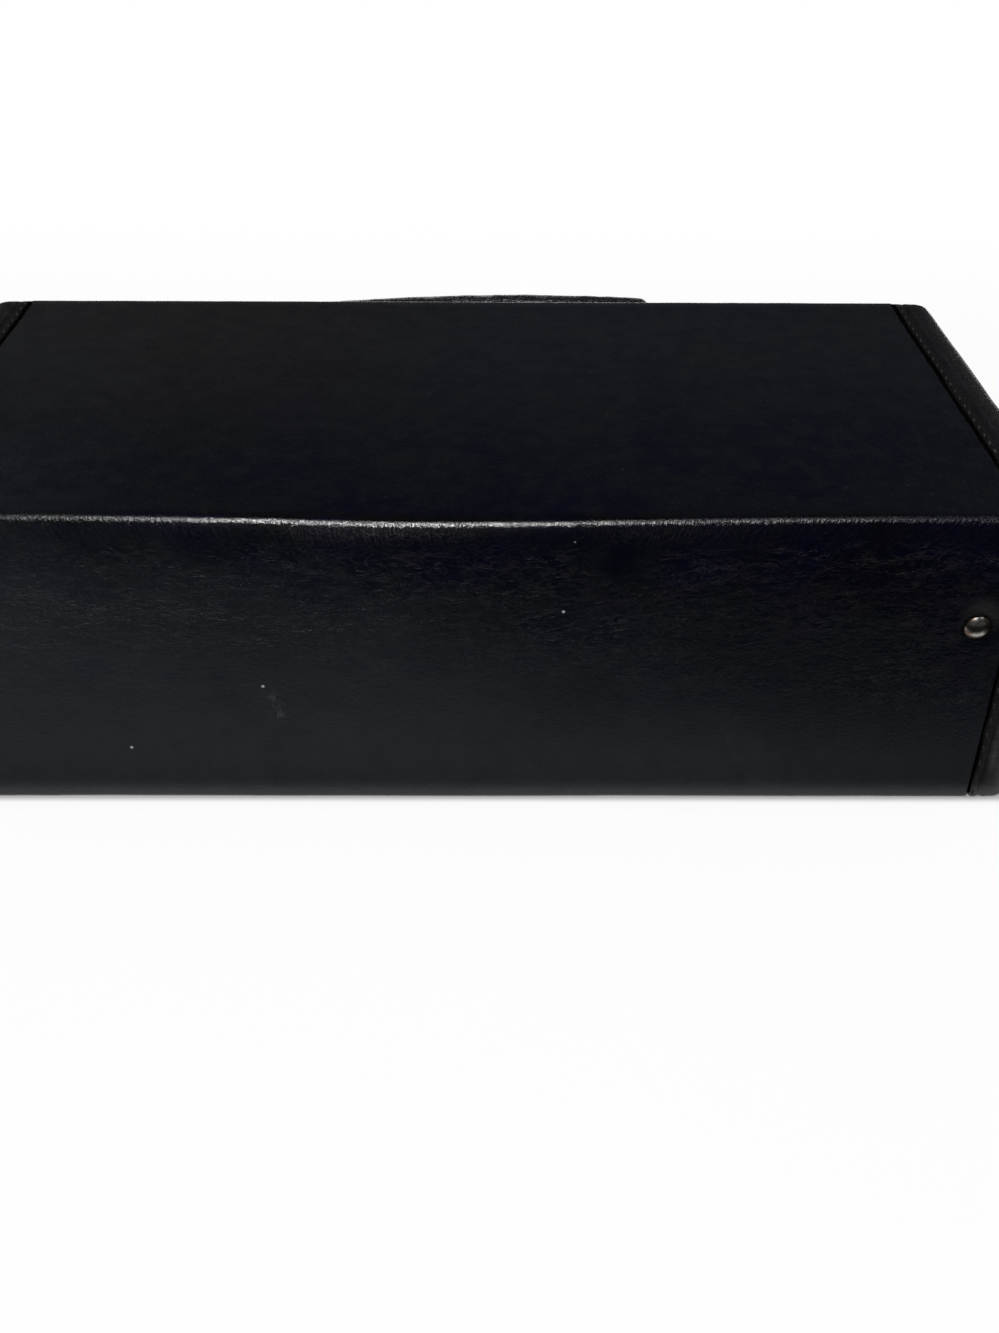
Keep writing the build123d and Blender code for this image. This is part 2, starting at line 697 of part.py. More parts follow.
def hasp_pin():
    half = HASP_WIDTH / 2
    return cross_cylinder(HASP_PIN_RADIUS, FRONT + HASP_PIN_OUT, HASP_PIN_Z, *latch_x(-half, half))


def hasp_plate(pin):
    """The plate on the lid, with the two outer knuckles that hold the pin."""
    half = HASP_PLATE_WIDTH / 2
    y = latch_y(0, HASP_PLATE_THICKNESS)
    plate = block(latch_x(-half, half), y, (HASP_PIN_Z, HASP_PIN_Z + HASP_PLATE_HEIGHT))
    high_corners = plate.edges().filter_by(Axis.Y).group_by(Axis.Z)[-1]
    plate = fillet(high_corners, HASP_PLATE_CORNER)
    pin_y = FRONT + HASP_PIN_OUT
    inner = HASP_KNUCKLE_LENGTH / 2 + LATCH_CLEARANCE
    outer = HASP_WIDTH / 2
    for low, high in ((-outer, -inner), (inner, outer)):
        plate += cross_cylinder(HASP_KNUCKLE_RADIUS, pin_y, HASP_PIN_Z, *latch_x(low, high))
        top = HASP_PIN_Z + HASP_KNUCKLE_RADIUS
        plate += block(latch_x(low, high), latch_y(0, HASP_PIN_OUT), (HASP_PIN_Z, top))
    return plate - pin


def hasp_rivets():
    places = [
        (LATCH_X + side * HASP_RIVET_FROM_CENTRE, HASP_PIN_Z + rise)
        for side in (-1, 1)
        for rise in (HASP_RIVET_LOW, HASP_RIVET_HIGH)
    ]
    return both_sides([small_rivet(x, z, HASP_PLATE_THICKNESS) for x, z in places])


def latch():
    pin = hasp_pin()
    return {
        "latch_back_plate": latch_back_plate(),
        "latch_case": latch_case(),
        "latch_slide": latch_slide(),
        "latch_spring": latch_spring(),
        "hasp": hasp(),
        "hasp_pin": pin,
        "hasp_plate": hasp_plate(pin),
    }


# ---------------------------------------------------------------- assembly


def without(shape, cutters):
    for cutter in cutters:
        shape = shape - cutter
    return shape


def base_shell(rivets, washers_rivets):
    """Boards, skin and lining of the base, drilled for the rivets that pass through them."""
    planks = boards(False)
    right_end = end_cover(False)
    return {
        "base_floor_board": planks["face"],
        "base_hinge_wall_board": without(planks["hinge_wall"], washers_rivets),
        "base_handle_wall_board": without(planks["handle_wall"], rivets),
        "base_end_board_right": planks["end_right"],
        "base_end_board_left": planks["end_left"],
        "base_cover": without(main_cover(False), rivets + washers_rivets),
        "base_end_cover_right": right_end,
        "base_end_cover_left": mirrored(right_end),
        "base_lining": lining(False),
    }


def lid_shell(rivets):
    planks = boards(True)
    right_end = end_cover(True)
    return {
        "lid_top_board": planks["face"],
        "lid_hinge_wall_board": planks["hinge_wall"],
        "lid_handle_wall_board": without(planks["handle_wall"], rivets),
        "lid_end_board_right": planks["end_right"],
        "lid_end_board_left": planks["end_left"],
        "lid_cover": without(main_cover(True), rivets),
        "lid_end_cover_right": right_end,
        "lid_end_cover_left": mirrored(right_end),
        "lid_lining": lining(True),
        "lid_pad": lid_pad(),
    }


def assembly():
    hinge = hinge_rivets()
    on_base = latch_rivets()
    on_lid = hasp_rivets()
    on_brackets = bracket_rivets()
    nodes = base_shell(on_base, hinge)
    nodes.update(lid_shell(on_lid + on_brackets))
    nodes.update(rack())
    nodes.update(handle())
    nodes["hinge_strip"] = hinge_strip()
    nodes["hinge_tape"] = without(hinge_tape(), hinge)
    nodes["hinge_rivets"] = hinge
    nodes["hinge_rivet_washers"] = hinge_washers(hinge)
    right_bracket = without(bracket(), on_brackets)
    nodes["handle_bracket_right"] = right_bracket
    nodes["handle_bracket_left"] = mirrored(right_bracket)
    nodes["handle_bracket_rivets"] = on_brackets
    for name, shape in latch().items():
        drilled = without(shape, {"latch_back_plate": on_base, "hasp_plate": on_lid}.get(name, []))
        nodes[f"{name}_right"] = drilled
        nodes[f"{name}_left"] = mirrored(drilled)
    nodes["latch_rivets"] = on_base
    nodes["hasp_rivets"] = on_lid
    return nodes


os.makedirs("parts", exist_ok=True)
for name, shape in assembly().items():
    solids = shape if isinstance(shape, list) else [shape]
    whole = solids[0] if len(solids) == 1 else Compound(children=solids)
    export_step(whole, f"parts/{name}.step")
print(f"case {WIDTH:.1f} x {DEPTH:.1f} x {HEIGHT:.1f} mm, parting at {PARTING:.1f} mm")
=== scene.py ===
import json
import math

import bmesh
import bpy
import numpy as np
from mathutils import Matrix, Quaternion, Vector

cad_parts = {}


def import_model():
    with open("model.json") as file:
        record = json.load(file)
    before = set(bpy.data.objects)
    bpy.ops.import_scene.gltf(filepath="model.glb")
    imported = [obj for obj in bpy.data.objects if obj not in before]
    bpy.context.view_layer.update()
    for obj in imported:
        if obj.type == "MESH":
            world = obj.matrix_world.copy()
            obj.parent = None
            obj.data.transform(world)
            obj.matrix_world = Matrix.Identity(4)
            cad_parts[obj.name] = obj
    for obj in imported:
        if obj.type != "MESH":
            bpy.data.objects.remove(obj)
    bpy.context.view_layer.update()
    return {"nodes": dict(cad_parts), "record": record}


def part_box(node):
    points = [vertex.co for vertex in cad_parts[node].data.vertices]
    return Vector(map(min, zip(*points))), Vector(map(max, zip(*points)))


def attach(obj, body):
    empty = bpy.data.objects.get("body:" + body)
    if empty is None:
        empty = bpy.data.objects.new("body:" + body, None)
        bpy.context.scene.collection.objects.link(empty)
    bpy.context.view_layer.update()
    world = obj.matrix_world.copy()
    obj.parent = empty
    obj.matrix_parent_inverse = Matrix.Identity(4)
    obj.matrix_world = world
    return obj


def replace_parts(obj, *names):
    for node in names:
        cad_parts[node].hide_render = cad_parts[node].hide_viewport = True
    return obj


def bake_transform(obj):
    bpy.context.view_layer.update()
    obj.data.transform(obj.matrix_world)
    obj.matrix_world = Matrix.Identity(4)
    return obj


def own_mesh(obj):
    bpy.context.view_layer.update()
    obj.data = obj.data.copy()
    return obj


# A leatherette case for boxed cassettes, lying on a pale floor. The hinge wall faces the camera.
# Meshes are worked out in millimetres and stored in metres.

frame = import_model()
MM = 0.001


def box_mm(node):
    """Lowest and highest corner of a CAD node, in millimetres."""
    low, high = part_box(node)
    return np.array(low) / MM, np.array(high) / MM


# ---------------------------------------------------------------- sizes, from the frame

lid_end_low, lid_end_high = box_mm("lid_end_cover_right")
base_end_high = box_mm("base_end_cover_right")[1]
tape_low, tape_high = box_mm("hinge_tape")
rivet_low, rivet_high = box_mm("hinge_rivets")
pad_low, pad_high = box_mm("lid_pad")
grip_low, grip_high = box_mm("handle_grip")

HALF_WIDTH, HALF_DEPTH, HEIGHT = lid_end_high
SEAM = lid_end_low[0]
LID_RIM = lid_end_low[2]
BASE_RIM = base_end_high[2]
PARTING = (LID_RIM + BASE_RIM) / 2
HINGE_RIVET_RADIUS = (rivet_high[2] - rivet_low[2]) / 2
HINGE_RIVET_X = rivet_high[0] - HINGE_RIVET_RADIUS
HINGE_RIVET_Z = (rivet_low[2] + rivet_high[2]) / 2

# Sizes of the leatherette
SHEET = 0.9  # thickness of the main sheets
END_SHEET = 0.6  # thickness of the end sheets, which lie over the main ones
EDGE_RADIUS = 2.2
BACK_RADIUS = 1.4  # of the lid's edge over the handle wall
FOOT_RADIUS = 1.0  # of the edges that the case lies on
CORNER_RADIUS = 5.0  # of the upright corners, seen from above
RIM_OUTER_RADIUS = 1.2
RIM_INNER_RADIUS = 1.0
WALL_DEPTH = 5.0  # from the outer face to the face of the turned-in edge
TURN_IN = 10.0
UNDERSIDE_LAP = 14.0  # how far the lid's sheet runs on under the base
TUCK_LENGTH = 1.8  # how far the main sheet runs on under the end sheet
TUCK_DEPTH = 0.85


# ---------------------------------------------------------------- numbers


def smoothstep(low, high, value):
    t = np.clip((value - low) / (high - low), 0.0, 1.0)
    return t * t * (3 - 2 * t)


def hill(value, centre, width):
    """1 at the centre, falling smoothly to nothing a few widths away."""
    return np.exp(-(((value - centre) / width) ** 2))


def lattice_values(cells, seed):
    """A repeatable value from -1 to 1 for each whole-number cell."""
    mixed = (cells * np.array([127.1, 311.7, 74.7])).sum(-1) + seed * 57.31
    return 2 * np.modf(np.abs(np.sin(mixed) * 43758.5453))[0] - 1


def waviness(points, size, seed, octaves=2):
    """Smooth noise from about -1 to 1. size is the length of one wave along each axis, in millimetres."""
    total = np.zeros(points.shape[:-1])
    strength = 1.0
    scaled = points / np.array(size, float)
    for octave in range(octaves):
        cell = np.floor(scaled)
        t = scaled - cell
        t = t * t * (3 - 2 * t)
        value = np.zeros(points.shape[:-1])
        for corner in np.ndindex(2, 2, 2):
            weight = np.prod(np.where(corner, t, 1 - t), axis=-1)
            value += weight * lattice_values(cell + corner, seed + 19 * octave)
        total += strength * value
        strength *= 0.5
        scaled = scaled * 2.03
    return total


def spaced(low, high, step):
    """Evenly spaced values from low to high, both included."""
    count = max(1, int(round(abs(high - low) / step)))
    return np.linspace(low, high, count + 1)


def spaced_through(*stops):
    """Values through (value, step to the next value) pairs, each stop once."""
    runs = [spaced(a, b, step)[:-1] for (a, step), (b, _) in zip(stops, stops[1:])]
    return np.concatenate([*runs, [stops[-1][0]]])


def rounded_path(corners, step, arc_step=0.45):
    """Points and right-hand normals of straight runs joined by arcs. corners are (a, b, radius)."""
    flat = np.array([c[:2] for c in corners], float)
    radii = [c[2] for c in corners]
    runs = np.diff(flat, axis=0)
    runs /= np.linalg.norm(runs, axis=1)[:, None]
    points = [flat[0]]
    headings = [runs[0]]
    for i, run in enumerate(runs):
        last = i == len(runs) - 1
        turn = 0.0 if last else math.atan2(*_cross_dot(run, runs[i + 1]))
        set_back = 0.0 if last else radii[i + 1] * math.tan(abs(turn) / 2)
        end = flat[i + 1] - run * set_back
        length = np.linalg.norm(end - points[-1])
        for t in spaced(0, 1, step / max(length, step))[1:]:
            points.append(end + run * (t - 1) * length)
            headings.append(run)
        if last or abs(turn) < 1e-6:
            continue
        count = max(3, int(abs(turn) * radii[i + 1] / arc_step))
        side = np.array([-run[1], run[0]]) * np.sign(turn)
        centre = end + side * radii[i + 1]
        for k in range(1, count + 1):
            spoke = _turned(-side, turn * k / count)
            points.append(centre + spoke * radii[i + 1])
            headings.append(_turned(run, turn * k / count))
    headings = np.array(headings)
    return np.array(points), np.stack([headings[:, 1], -headings[:, 0]], -1)


def lengths_along(line):
    """How far along a line of points each of them lies."""
    return np.concatenate([[0], np.cumsum(np.linalg.norm(np.diff(line, axis=0), axis=1))])


def at_length(line, lengths, at):
    """What a line of points holds at one length along it, or at several."""
    return np.stack([np.interp(at, lengths, column) for column in line.T], -1)


def grid_of(x, y, z):
    """A grid of points from three arrays that broadcast to its rows and columns."""
    return np.stack(np.broadcast_arrays(x, y, z), -1).astype(float)


def _cross_dot(a, b):
    return a[0] * b[1] - a[1] * b[0], a @ b


def _turned(v, angle):
    c, s = math.cos(angle), math.sin(angle)
    return np.array([c * v[0] - s * v[1], s * v[0] + c * v[1]])


# ---------------------------------------------------------------- meshes


def new_object(name, points, faces, material, crisp=40):
    """A piece from points in millimetres. Edges sharper than crisp degrees stay sharp."""
    mesh = bpy.data.meshes.new(name)
    points = np.asarray(points, float).reshape(-1, 3)
    mesh.from_pydata((points * MM).tolist(), [], [list(map(int, f)) for f in faces])
    finish_mesh(mesh, crisp)
    made = bpy.data.objects.new(name, mesh)
    bpy.context.scene.collection.objects.link(made)
    mesh.materials.append(material)
    return made


def finish_mesh(mesh, crisp):
    mesh.validate()
    mesh.polygons.foreach_set("use_smooth", [True] * len(mesh.polygons))
    mesh.set_sharp_from_angle(angle=math.radians(crisp))
    keep_rest(mesh)
    mesh.update()


def keep_rest(mesh):
    """Stores where each point lies at rest, for textures that stay put when the piece bends."""
    rest = mesh.attributes.get("rest") or mesh.attributes.new("rest", "FLOAT_VECTOR", "POINT")
    places = np.zeros(len(mesh.vertices) * 3, np.float32)
    mesh.vertices.foreach_get("co", places)
    rest.data.foreach_set("vector", places)


def set_mask(piece, name, values):
    mask = piece.data.attributes.new(name, "FLOAT", "POINT")
    mask.data.foreach_set("value", np.asarray(values, np.float32).ravel())


def grid_faces(rows, columns, closed=False):
    index = np.arange(rows * columns).reshape(rows, columns)
    if closed:
        index = np.concatenate([index, index[:, :1]], axis=1)
    quads = np.stack([index[:-1, :-1], index[1:, :-1], index[1:, 1:], index[:-1, 1:]], -1)
    return quads.reshape(-1, 4)


def rod_faces(rows, around, start=0):
    """Faces of rings of points, from index start on, closed at both ends."""
    sides = [[start + i for i in face] for face in grid_faces(rows, around, closed=True)]
    first = [start + a for a in range(around)]
    return sides + [first[::-1], [a + (rows - 1) * around for a in first]]


def thick_grid(outer, normals, thickness):
    """A grid of points given a back face and closed round its rim. Returns points and faces."""
    rows, columns = outer.shape[:2]
    count = rows * columns
    inner = outer - normals * thickness
    front = grid_faces(rows, columns)
    index = np.arange(count).reshape(rows, columns)
    border = np.concatenate(
        [index[0, ::-1], index[1:, 0], index[-1, 1:], index[-2:0:-1, -1]]
    )
    following = np.roll(border, -1)
    rim = np.stack([following, border, border + count, following + count], -1)
    faces = np.concatenate([front, front[:, ::-1] + count, rim])
    return np.concatenate([outer.reshape(-1, 3), inner.reshape(-1, 3)]), faces


def edit_mesh(mesh, edit):
    """Runs edit on the mesh's bmesh form."""
    work = bmesh.new()
    work.from_mesh(mesh)
    edit(work)
    work.to_mesh(mesh)
    work.free()


def weld_close_points(work):
    """Joins points that share a place, and drops the faces that this leaves without area."""
    bmesh.ops.remove_doubles(work, verts=work.verts, dist=0.01 * MM)
    bmesh.ops.dissolve_degenerate(work, dist=0.005 * MM, edges=work.edges)


def fill_holes(work):
    bmesh.ops.holes_fill(work, edges=[e for e in work.edges if e.is_boundary], sides=0)


def apply_modifiers(piece):
    graph = bpy.context.evaluated_depsgraph_get()
    made = bpy.data.meshes.new_from_object(piece.evaluated_get(graph))
    piece.modifiers.clear()
    piece.data = made
    return piece


# ---------------------------------------------------------------- nodes of materials


class Nodes:
    """Adds nodes to a tree. An input is given either a number or colour, or another node's output."""

    def __init__(self, tree):
        self.tree = tree
        tree.nodes.clear()

    def add(self, kind, **settings):
        node = self.tree.nodes.new(kind)
        for key, value in settings.items():
            setattr(node, key, value)
        return node

    def give(self, target, value):
        if isinstance(value, bpy.types.NodeSocket):
            self.tree.links.new(value, target)
        else:
            target.default_value = value

    def put(self, node, **inputs):
        for key, value in inputs.items():
            self.give(node.inputs[key.replace("_", " ")], value)
        return node

    def math(self, operation, a, b=0.0):
        node = self.add("ShaderNodeMath", operation=operation)
        self.give(node.inputs[0], a)
        self.give(node.inputs[1], b)
        return node.outputs[0]

    def times(self, a, b):
        return self.math("MULTIPLY", a, b)

    def plus(self, a, b):
        return self.math("ADD", a, b)

    def minus(self, a, b):
        return self.math("SUBTRACT", a, b)

    def larger(self, a, b):
        return self.math("MAXIMUM", a, b)

    def size_of(self, a):
        return self.math("ABSOLUTE", a)

    def span(self, value, low, high, to_low=0.0, to_high=1.0):
        """Maps low..high smoothly to to_low..to_high."""
        node = self.add("ShaderNodeMapRange", interpolation_type="SMOOTHSTEP")
        self.put(node, Value=value, From_Min=low, From_Max=high, To_Min=to_low, To_Max=to_high)
        return node.outputs[0]

    def axes(self, vector):
        split = self.put(self.add("ShaderNodeSeparateXYZ"), Vector=vector)
        return split.outputs[0], split.outputs[1], split.outputs[2]

    def vector_math(self, operation, vector, other, output=0):
        node = self.add("ShaderNodeVectorMath", operation=operation)
        self.give(node.inputs[0], vector)
        node.inputs[1].default_value = other
        return node.outputs[output]


class Finish(Nodes):
    """A material's nodes. Texture space is millimetres in the part's own frame."""

    def __init__(self, name, bends=False):
        self.material = bpy.data.materials.new(name)
        self.material.use_nodes = True
        super().__init__(self.material.node_tree)
        self.shader = self.add("ShaderNodeBsdfPrincipled")
        self.put(self.add("ShaderNodeOutputMaterial"), Surface=self.shader.outputs[0])
        if bends:
            source = self.add("ShaderNodeAttribute", attribute_name="rest").outputs["Vector"]
        else:
            source = self.add("ShaderNodeTexCoord").outputs["Object"]
        self.place = self.vector_math("MULTIPLY", source, (1 / MM,) * 3)

    def moved(self, vector, offset):
        return self.vector_math("ADD", vector, offset)

    def turned(self, vector, angle, axis="X_AXIS"):
        node = self.add("ShaderNodeVectorRotate", rotation_type=axis)
        self.put(node, Vector=vector, Angle=math.radians(angle))
        return node.outputs[0]

    def shrunk(self, vector, size):
        """A vector divided by a feature's size, which may differ by axis."""
        sizes = size if isinstance(size, tuple) else (size,) * 3
        return self.vector_math("MULTIPLY", vector, tuple(1 / s for s in sizes))

    def noise(self, vector, size, detail=3.0, roughness=0.55, distortion=0.0):
        """Noise whose features are about size millimetres across."""
        node = self.add("ShaderNodeTexNoise")
        self.put(node, Vector=self.shrunk(vector, size), Scale=1.0)
        self.put(node, Detail=detail, Roughness=roughness, Distortion=distortion)
        return node.outputs["Fac"]

    def cells(self, vector, size, feature="F1"):
        node = self.add("ShaderNodeTexVoronoi", feature=feature)
        self.put(node, Vector=self.shrunk(vector, size), Scale=1.0, Randomness=1.0)
        return node.outputs["Distance"]

    def mix(self, share, a, b):
        """A colour between a and b."""
        node = self.add("ShaderNodeMix", data_type="RGBA")
        self.give(node.inputs[0], share)
        for slot, value in ((6, a), (7, b)):
            self.give(node.inputs[slot], (*value, 1.0) if isinstance(value, tuple) else value)
        return node.outputs[2]

    def mask(self, name):
        return self.add("ShaderNodeAttribute", attribute_name=name).outputs["Fac"]

    def reach(self, place):
        """Distance in millimetres from a place on the hinge wall, given as (x, z)."""
        return self.vector_math("DISTANCE", self.place, (place[0], -HALF_DEPTH, place[1]), "Value")

    def joined(self, x, y, z):
        return self.put(self.add("ShaderNodeCombineXYZ"), X=x, Y=y, Z=z).outputs[0]

    def bump(self, height, depth, normal=None, strength=1.0):
        """Relief that is depth millimetres deep."""
        node = self.add("ShaderNodeBump")
        self.put(node, Height=height, Distance=depth * MM, Strength=strength)
        if normal is not None:
            self.put(node, Normal=normal)
        return node.outputs[0]

    def set(self, **inputs):
        self.put(self.shader, **inputs)
        return self.material


# ---------------------------------------------------------------- finishes

# Colours of the leatherette
NAVY = (0.0003, 0.0007, 0.0056)
SLATE = (0.0009, 0.0020, 0.0048)
WORN_BLACK = (0.0034, 0.0040, 0.0054)
END_GREY = (0.0078, 0.0078, 0.0078)
# Painted shade: the black in the seams' grooves, in the rim round each rivet and along the top's hinge edge
PAINTED_SHADE_BLACK = (0.0003, 0.0003, 0.0004)
# Painted shade high on the right of the hinge wall
PAINTED_SHADE_NAVY = (0.0001, 0.0004, 0.0034)
# Painted sheen on the left of the hinge wall
PAINTED_SHEEN_BLUE = (0.0046, 0.0060, 0.0112)
# Partly dust and partly painted reflection of the floor, low on the hinge wall
DUST_AND_FLOOR_SHEEN = (0.0126, 0.0160, 0.0198)
# Partly dust and partly painted reflection on the top, which grows towards the handle wall
TOP_DUST_AND_SHEEN_LEFT = (0.0112, 0.0104, 0.0106)
TOP_DUST_AND_SHEEN_RIGHT = (0.0110, 0.0124, 0.0162)
INDIGO = (0.0007, 0.0004, 0.0085)
DUST = (0.06, 0.062, 0.066)
SCUFF = (0.020, 0.021, 0.024)
RIVET_HALO = (0.020, 0.0185, 0.018)

DUST_AND_SHEEN_TOP = 94.0  # height at which the pale layer of dust and painted floor reflection ends in the middle of the hinge wall
DUST_AND_SHEEN_SLOPE = 0.25  # it ends lower towards the right
PLEAT_LEAN = 0.004  # how fast the pleats draw in towards the middle

# Dust specks and a curved scuff on the hinge wall, as (x, z)
SPECKS = ((36.0, 97.8), (33.4, 73.2), (-61.0, 45.0), (-106.0, 20.5))
SMUDGES = ((-58.0, 41.5), (-57.2, 37.5), (-56.4, 33.5))
SCUFF_ARC_CENTRE = (110.0, 25.0)
SCUFF_ARC_RADIUS = 21.0
SPECK_WHITE = (0.4, 0.41, 0.42)
SMUDGE_GREY = (0.045, 0.047, 0.05)
EDGE_COAT_ROUGHNESS = 0.27
EDGE_COAT_IOR = 2.9


def leatherette(name, bends=False, dust_and_sheen=False, grey=0.0):
    """Black vinyl leatherette: fine grain, mottling and scuffs. Asked for, it also adds dust on the top and
    the wall, with painted light and shade there.
    """
    f = Finish(name, bends)
    broad = f.noise(f.place, 48.0, 2.0)
    mottle = f.noise(f.moved(f.place, (40.0, 9.0, 3.0)), 7.0, 4.0, 0.6)
    fine = f.noise(f.place, 1.1, 3.0)
    colour = f.mix(f.span(broad, 0.4, 0.62), NAVY, SLATE)
    colour = f.mix(f.span(mottle, 0.42, 0.68, 0.0, 0.6), colour, WORN_BLACK)
    colour = f.mix(f.span(fine, 0.48, 0.72, 0.0, 0.5), colour, WORN_BLACK)
    colour = f.mix(grey, colour, END_GREY)
    if dust_and_sheen:
        colour = dust_and_painted_light(f, colour, broad, mottle)
    speck = f.cells(f.place, 6.5)
    speck = f.times(f.span(speck, 0.03, 0.055, 1.0, 0.0), f.span(mottle, 0.45, 0.6))
    colour = f.mix(f.times(speck, 0.4), colour, DUST)
    scuff = f.noise(f.turned(f.place, 24, "Y_AXIS"), (3.2, 3.2, 0.7), 5.0)
    scuff = f.times(f.span(scuff, 0.62, 0.74), f.span(broad, 0.45, 0.6))
    colour = f.mix(f.times(scuff, 0.3), colour, SCUFF)
    rough = f.span(mottle, 0.3, 0.7, 0.3, 0.4)
    grain = f.cells(f.place, 0.9, "SMOOTH_F1")
    normal = f.bump(grain, 0.16, strength=0.8)
    normal = f.bump(fine, 0.3, normal, 0.8)
    if bends:
        worn = f.mask("edge")
        groove = f.mask("groove")
        # Painted shade: the groove mask blackens the bottom of the seams' grooves
        colour = f.mix(groove, colour, PAINTED_SHADE_BLACK)
        rough = f.minus(rough, f.times(worn, 0.1))
        rough = f.plus(rough, f.times(groove, 0.5))
        normal = f.bump(f.times(f.mask("pleats"), pleat_pattern(f)), 1.7, normal)
        folds = f.noise(f.turned(f.place, 8, "Y_AXIS"), (8.0, 2.0, 2.0), 4.0, 0.62, 0.8)
        crossing = f.noise(f.turned(f.place, -24, "Y_AXIS"), (7.0, 2.4, 2.4), 3.0, 0.6, 1.2)
        folds = f.plus(folds, f.times(crossing, 0.8))
        normal = f.bump(f.times(f.mask("wrinkled"), folds), 2.4, normal)
        crinkles = f.noise(f.moved(f.place, (7.0, 3.0, 5.0)), (7.0, 4.0, 4.0), 3.0, 0.6, 1.4)
        crinkles = f.span(f.size_of(f.minus(crinkles, 0.5)), 0.0, 0.06)
        crinkles = f.times(f.mask("crinkled"), crinkles)
        normal = f.bump(crinkles, 0.24, normal)
        f.set(Coat_Weight=worn, Coat_Roughness=EDGE_COAT_ROUGHNESS)
        f.set(Coat_IOR=EDGE_COAT_IOR, Coat_Normal=normal)
    return f.set(Base_Color=colour, Roughness=rough, Normal=normal, Specular_IOR_Level=0.17)


def dust_and_painted_light(f, colour, broad, mottle):
    """Dust and painted light. The top is lighter towards the handle wall, partly dust and partly painted
    reflection, with a band of painted shade along the hinge edge. The hinge wall has painted sheen at its
    left, painted shade high at its right, bluish patches high up, and a pale layer low down that is partly
    dust and partly painted reflection of the floor.
    """
    x, y, z = f.axes(f.place)
    on_top = f.span(z, HEIGHT - 2.5, HEIGHT - 1.0)
    # The top is lighter towards the handle wall: partly dust, partly painted reflection
    back = f.span(y, -HALF_DEPTH, HALF_DEPTH, 0.1, 1.0)
    back = f.times(back, f.span(x, -150.0, 200.0, 1.0, 0.6))
    back = f.times(back, f.span(mottle, 0.3, 0.65, 0.7, 1.0))
    top_dust_and_sheen = f.mix(f.span(x, -110.0, 40.0), TOP_DUST_AND_SHEEN_LEFT, TOP_DUST_AND_SHEEN_RIGHT)
    colour = f.mix(f.times(on_top, back), colour, top_dust_and_sheen)
    # Painted shade: a dark band along the top's hinge edge
    painted_edge_shade = f.span(y, 1 - HALF_DEPTH, 7 - HALF_DEPTH, 0.9, 0.0)
    colour = f.mix(f.times(on_top, painted_edge_shade), colour, PAINTED_SHADE_BLACK)
    on_wall = f.span(y, 1 - HALF_DEPTH, 4 - HALF_DEPTH, 1.0, 0.0)
    # Painted sheen: the hinge wall lighter and bluer towards its left
    painted_sheen_left = f.times(f.span(x, -190.0, 130.0, 1.0, 0.0), on_wall)
    painted_sheen_left = f.times(painted_sheen_left, f.span(z, 78.0, 97.0, 1.0, 0.2))
    colour = f.mix(f.times(painted_sheen_left, 0.45), colour, PAINTED_SHEEN_BLUE)
    # Painted shade: the hinge wall darker high at its right
    painted_shade_right = f.times(f.span(x, 10.0, 140.0), f.span(z, 58.0, 84.0))
    colour = f.mix(f.times(painted_shade_right, f.times(on_wall, 0.85)), colour, PAINTED_SHADE_NAVY)
    patches = f.noise(f.moved(f.place, (61.0, 5.0, 23.0)), (34.0, 20.0, 20.0), 3.0, 0.5, 0.6)
    high = f.times(on_wall, f.span(z, 66.0, 86.0))
    patches = f.times(f.span(patches, 0.46, 0.6), high)
    colour = f.mix(f.times(patches, 0.7), colour, INDIGO)
    # A pale layer low on the hinge wall, ending lower at the right: partly dust, partly painted reflection
    # of the floor
    level = f.plus(z, f.times(x, DUST_AND_SHEEN_SLOPE))
    level = f.plus(level, f.span(broad, 0.3, 0.7, -8.0, 8.0))
    dust_and_sheen = f.span(level, 12.0, DUST_AND_SHEEN_TOP, 1.0, 0.0)
    dust_and_sheen = f.times(dust_and_sheen, f.span(mottle, 0.25, 0.7, 0.7, 1.0))
    colour = f.mix(dust_and_sheen, colour, DUST_AND_FLOOR_SHEEN)
    return wall_marks(f, colour, mottle)


def wall_marks(f, colour, mottle):
    """Specks of dust, a curved scuff, a pale halo about each rivet, and a painted shadow as a dark rim
    round it.
    """
    for place in SPECKS:
        colour = f.mix(f.span(f.reach(place), 0.25, 0.7, 0.9, 0.0), colour, SPECK_WHITE)
    strokes = f.noise(f.place, (0.9, 0.9, 3.0), 3.0, 0.6)
    for place in SMUDGES:
        smudge = f.times(f.span(f.reach(place), 0.4, 3.2, 0.8, 0.0), f.span(strokes, 0.45, 0.65))
        colour = f.mix(smudge, colour, SMUDGE_GREY)
    from_arc = f.size_of(f.minus(f.reach(SCUFF_ARC_CENTRE), SCUFF_ARC_RADIUS))
    arc = f.span(from_arc, 0.2, 1.8, 0.3, 0.0)
    x, _, z = f.axes(f.place)
    low_left = f.times(f.span(x, 106.0, 116.0, 1.0, 0.0), f.span(mottle, 0.35, 0.6))
    low_left = f.times(low_left, f.span(z, 24.0, 30.0, 1.0, 0.0))
    colour = f.mix(f.times(arc, low_left), colour, SCUFF)
    for side in (-1, 1):
        halo = f.span(f.reach((side * HINGE_RIVET_X + 1, HINGE_RIVET_Z + 4)), 2.0, 9.0, 0.8, 0.0)
        colour = f.mix(f.times(halo, f.span(mottle, 0.3, 0.6, 0.5, 1.0)), colour, RIVET_HALO)
        # Painted shadow: a dark rim round the rivet's head
        rim = f.reach((side * HINGE_RIVET_X, HINGE_RIVET_Z))
        rim = f.span(rim, HINGE_RIVET_RADIUS + 0.2, HINGE_RIVET_RADIUS + 1.6, 0.9, 0.0)
        colour = f.mix(rim, colour, PAINTED_SHADE_BLACK)
    return colour


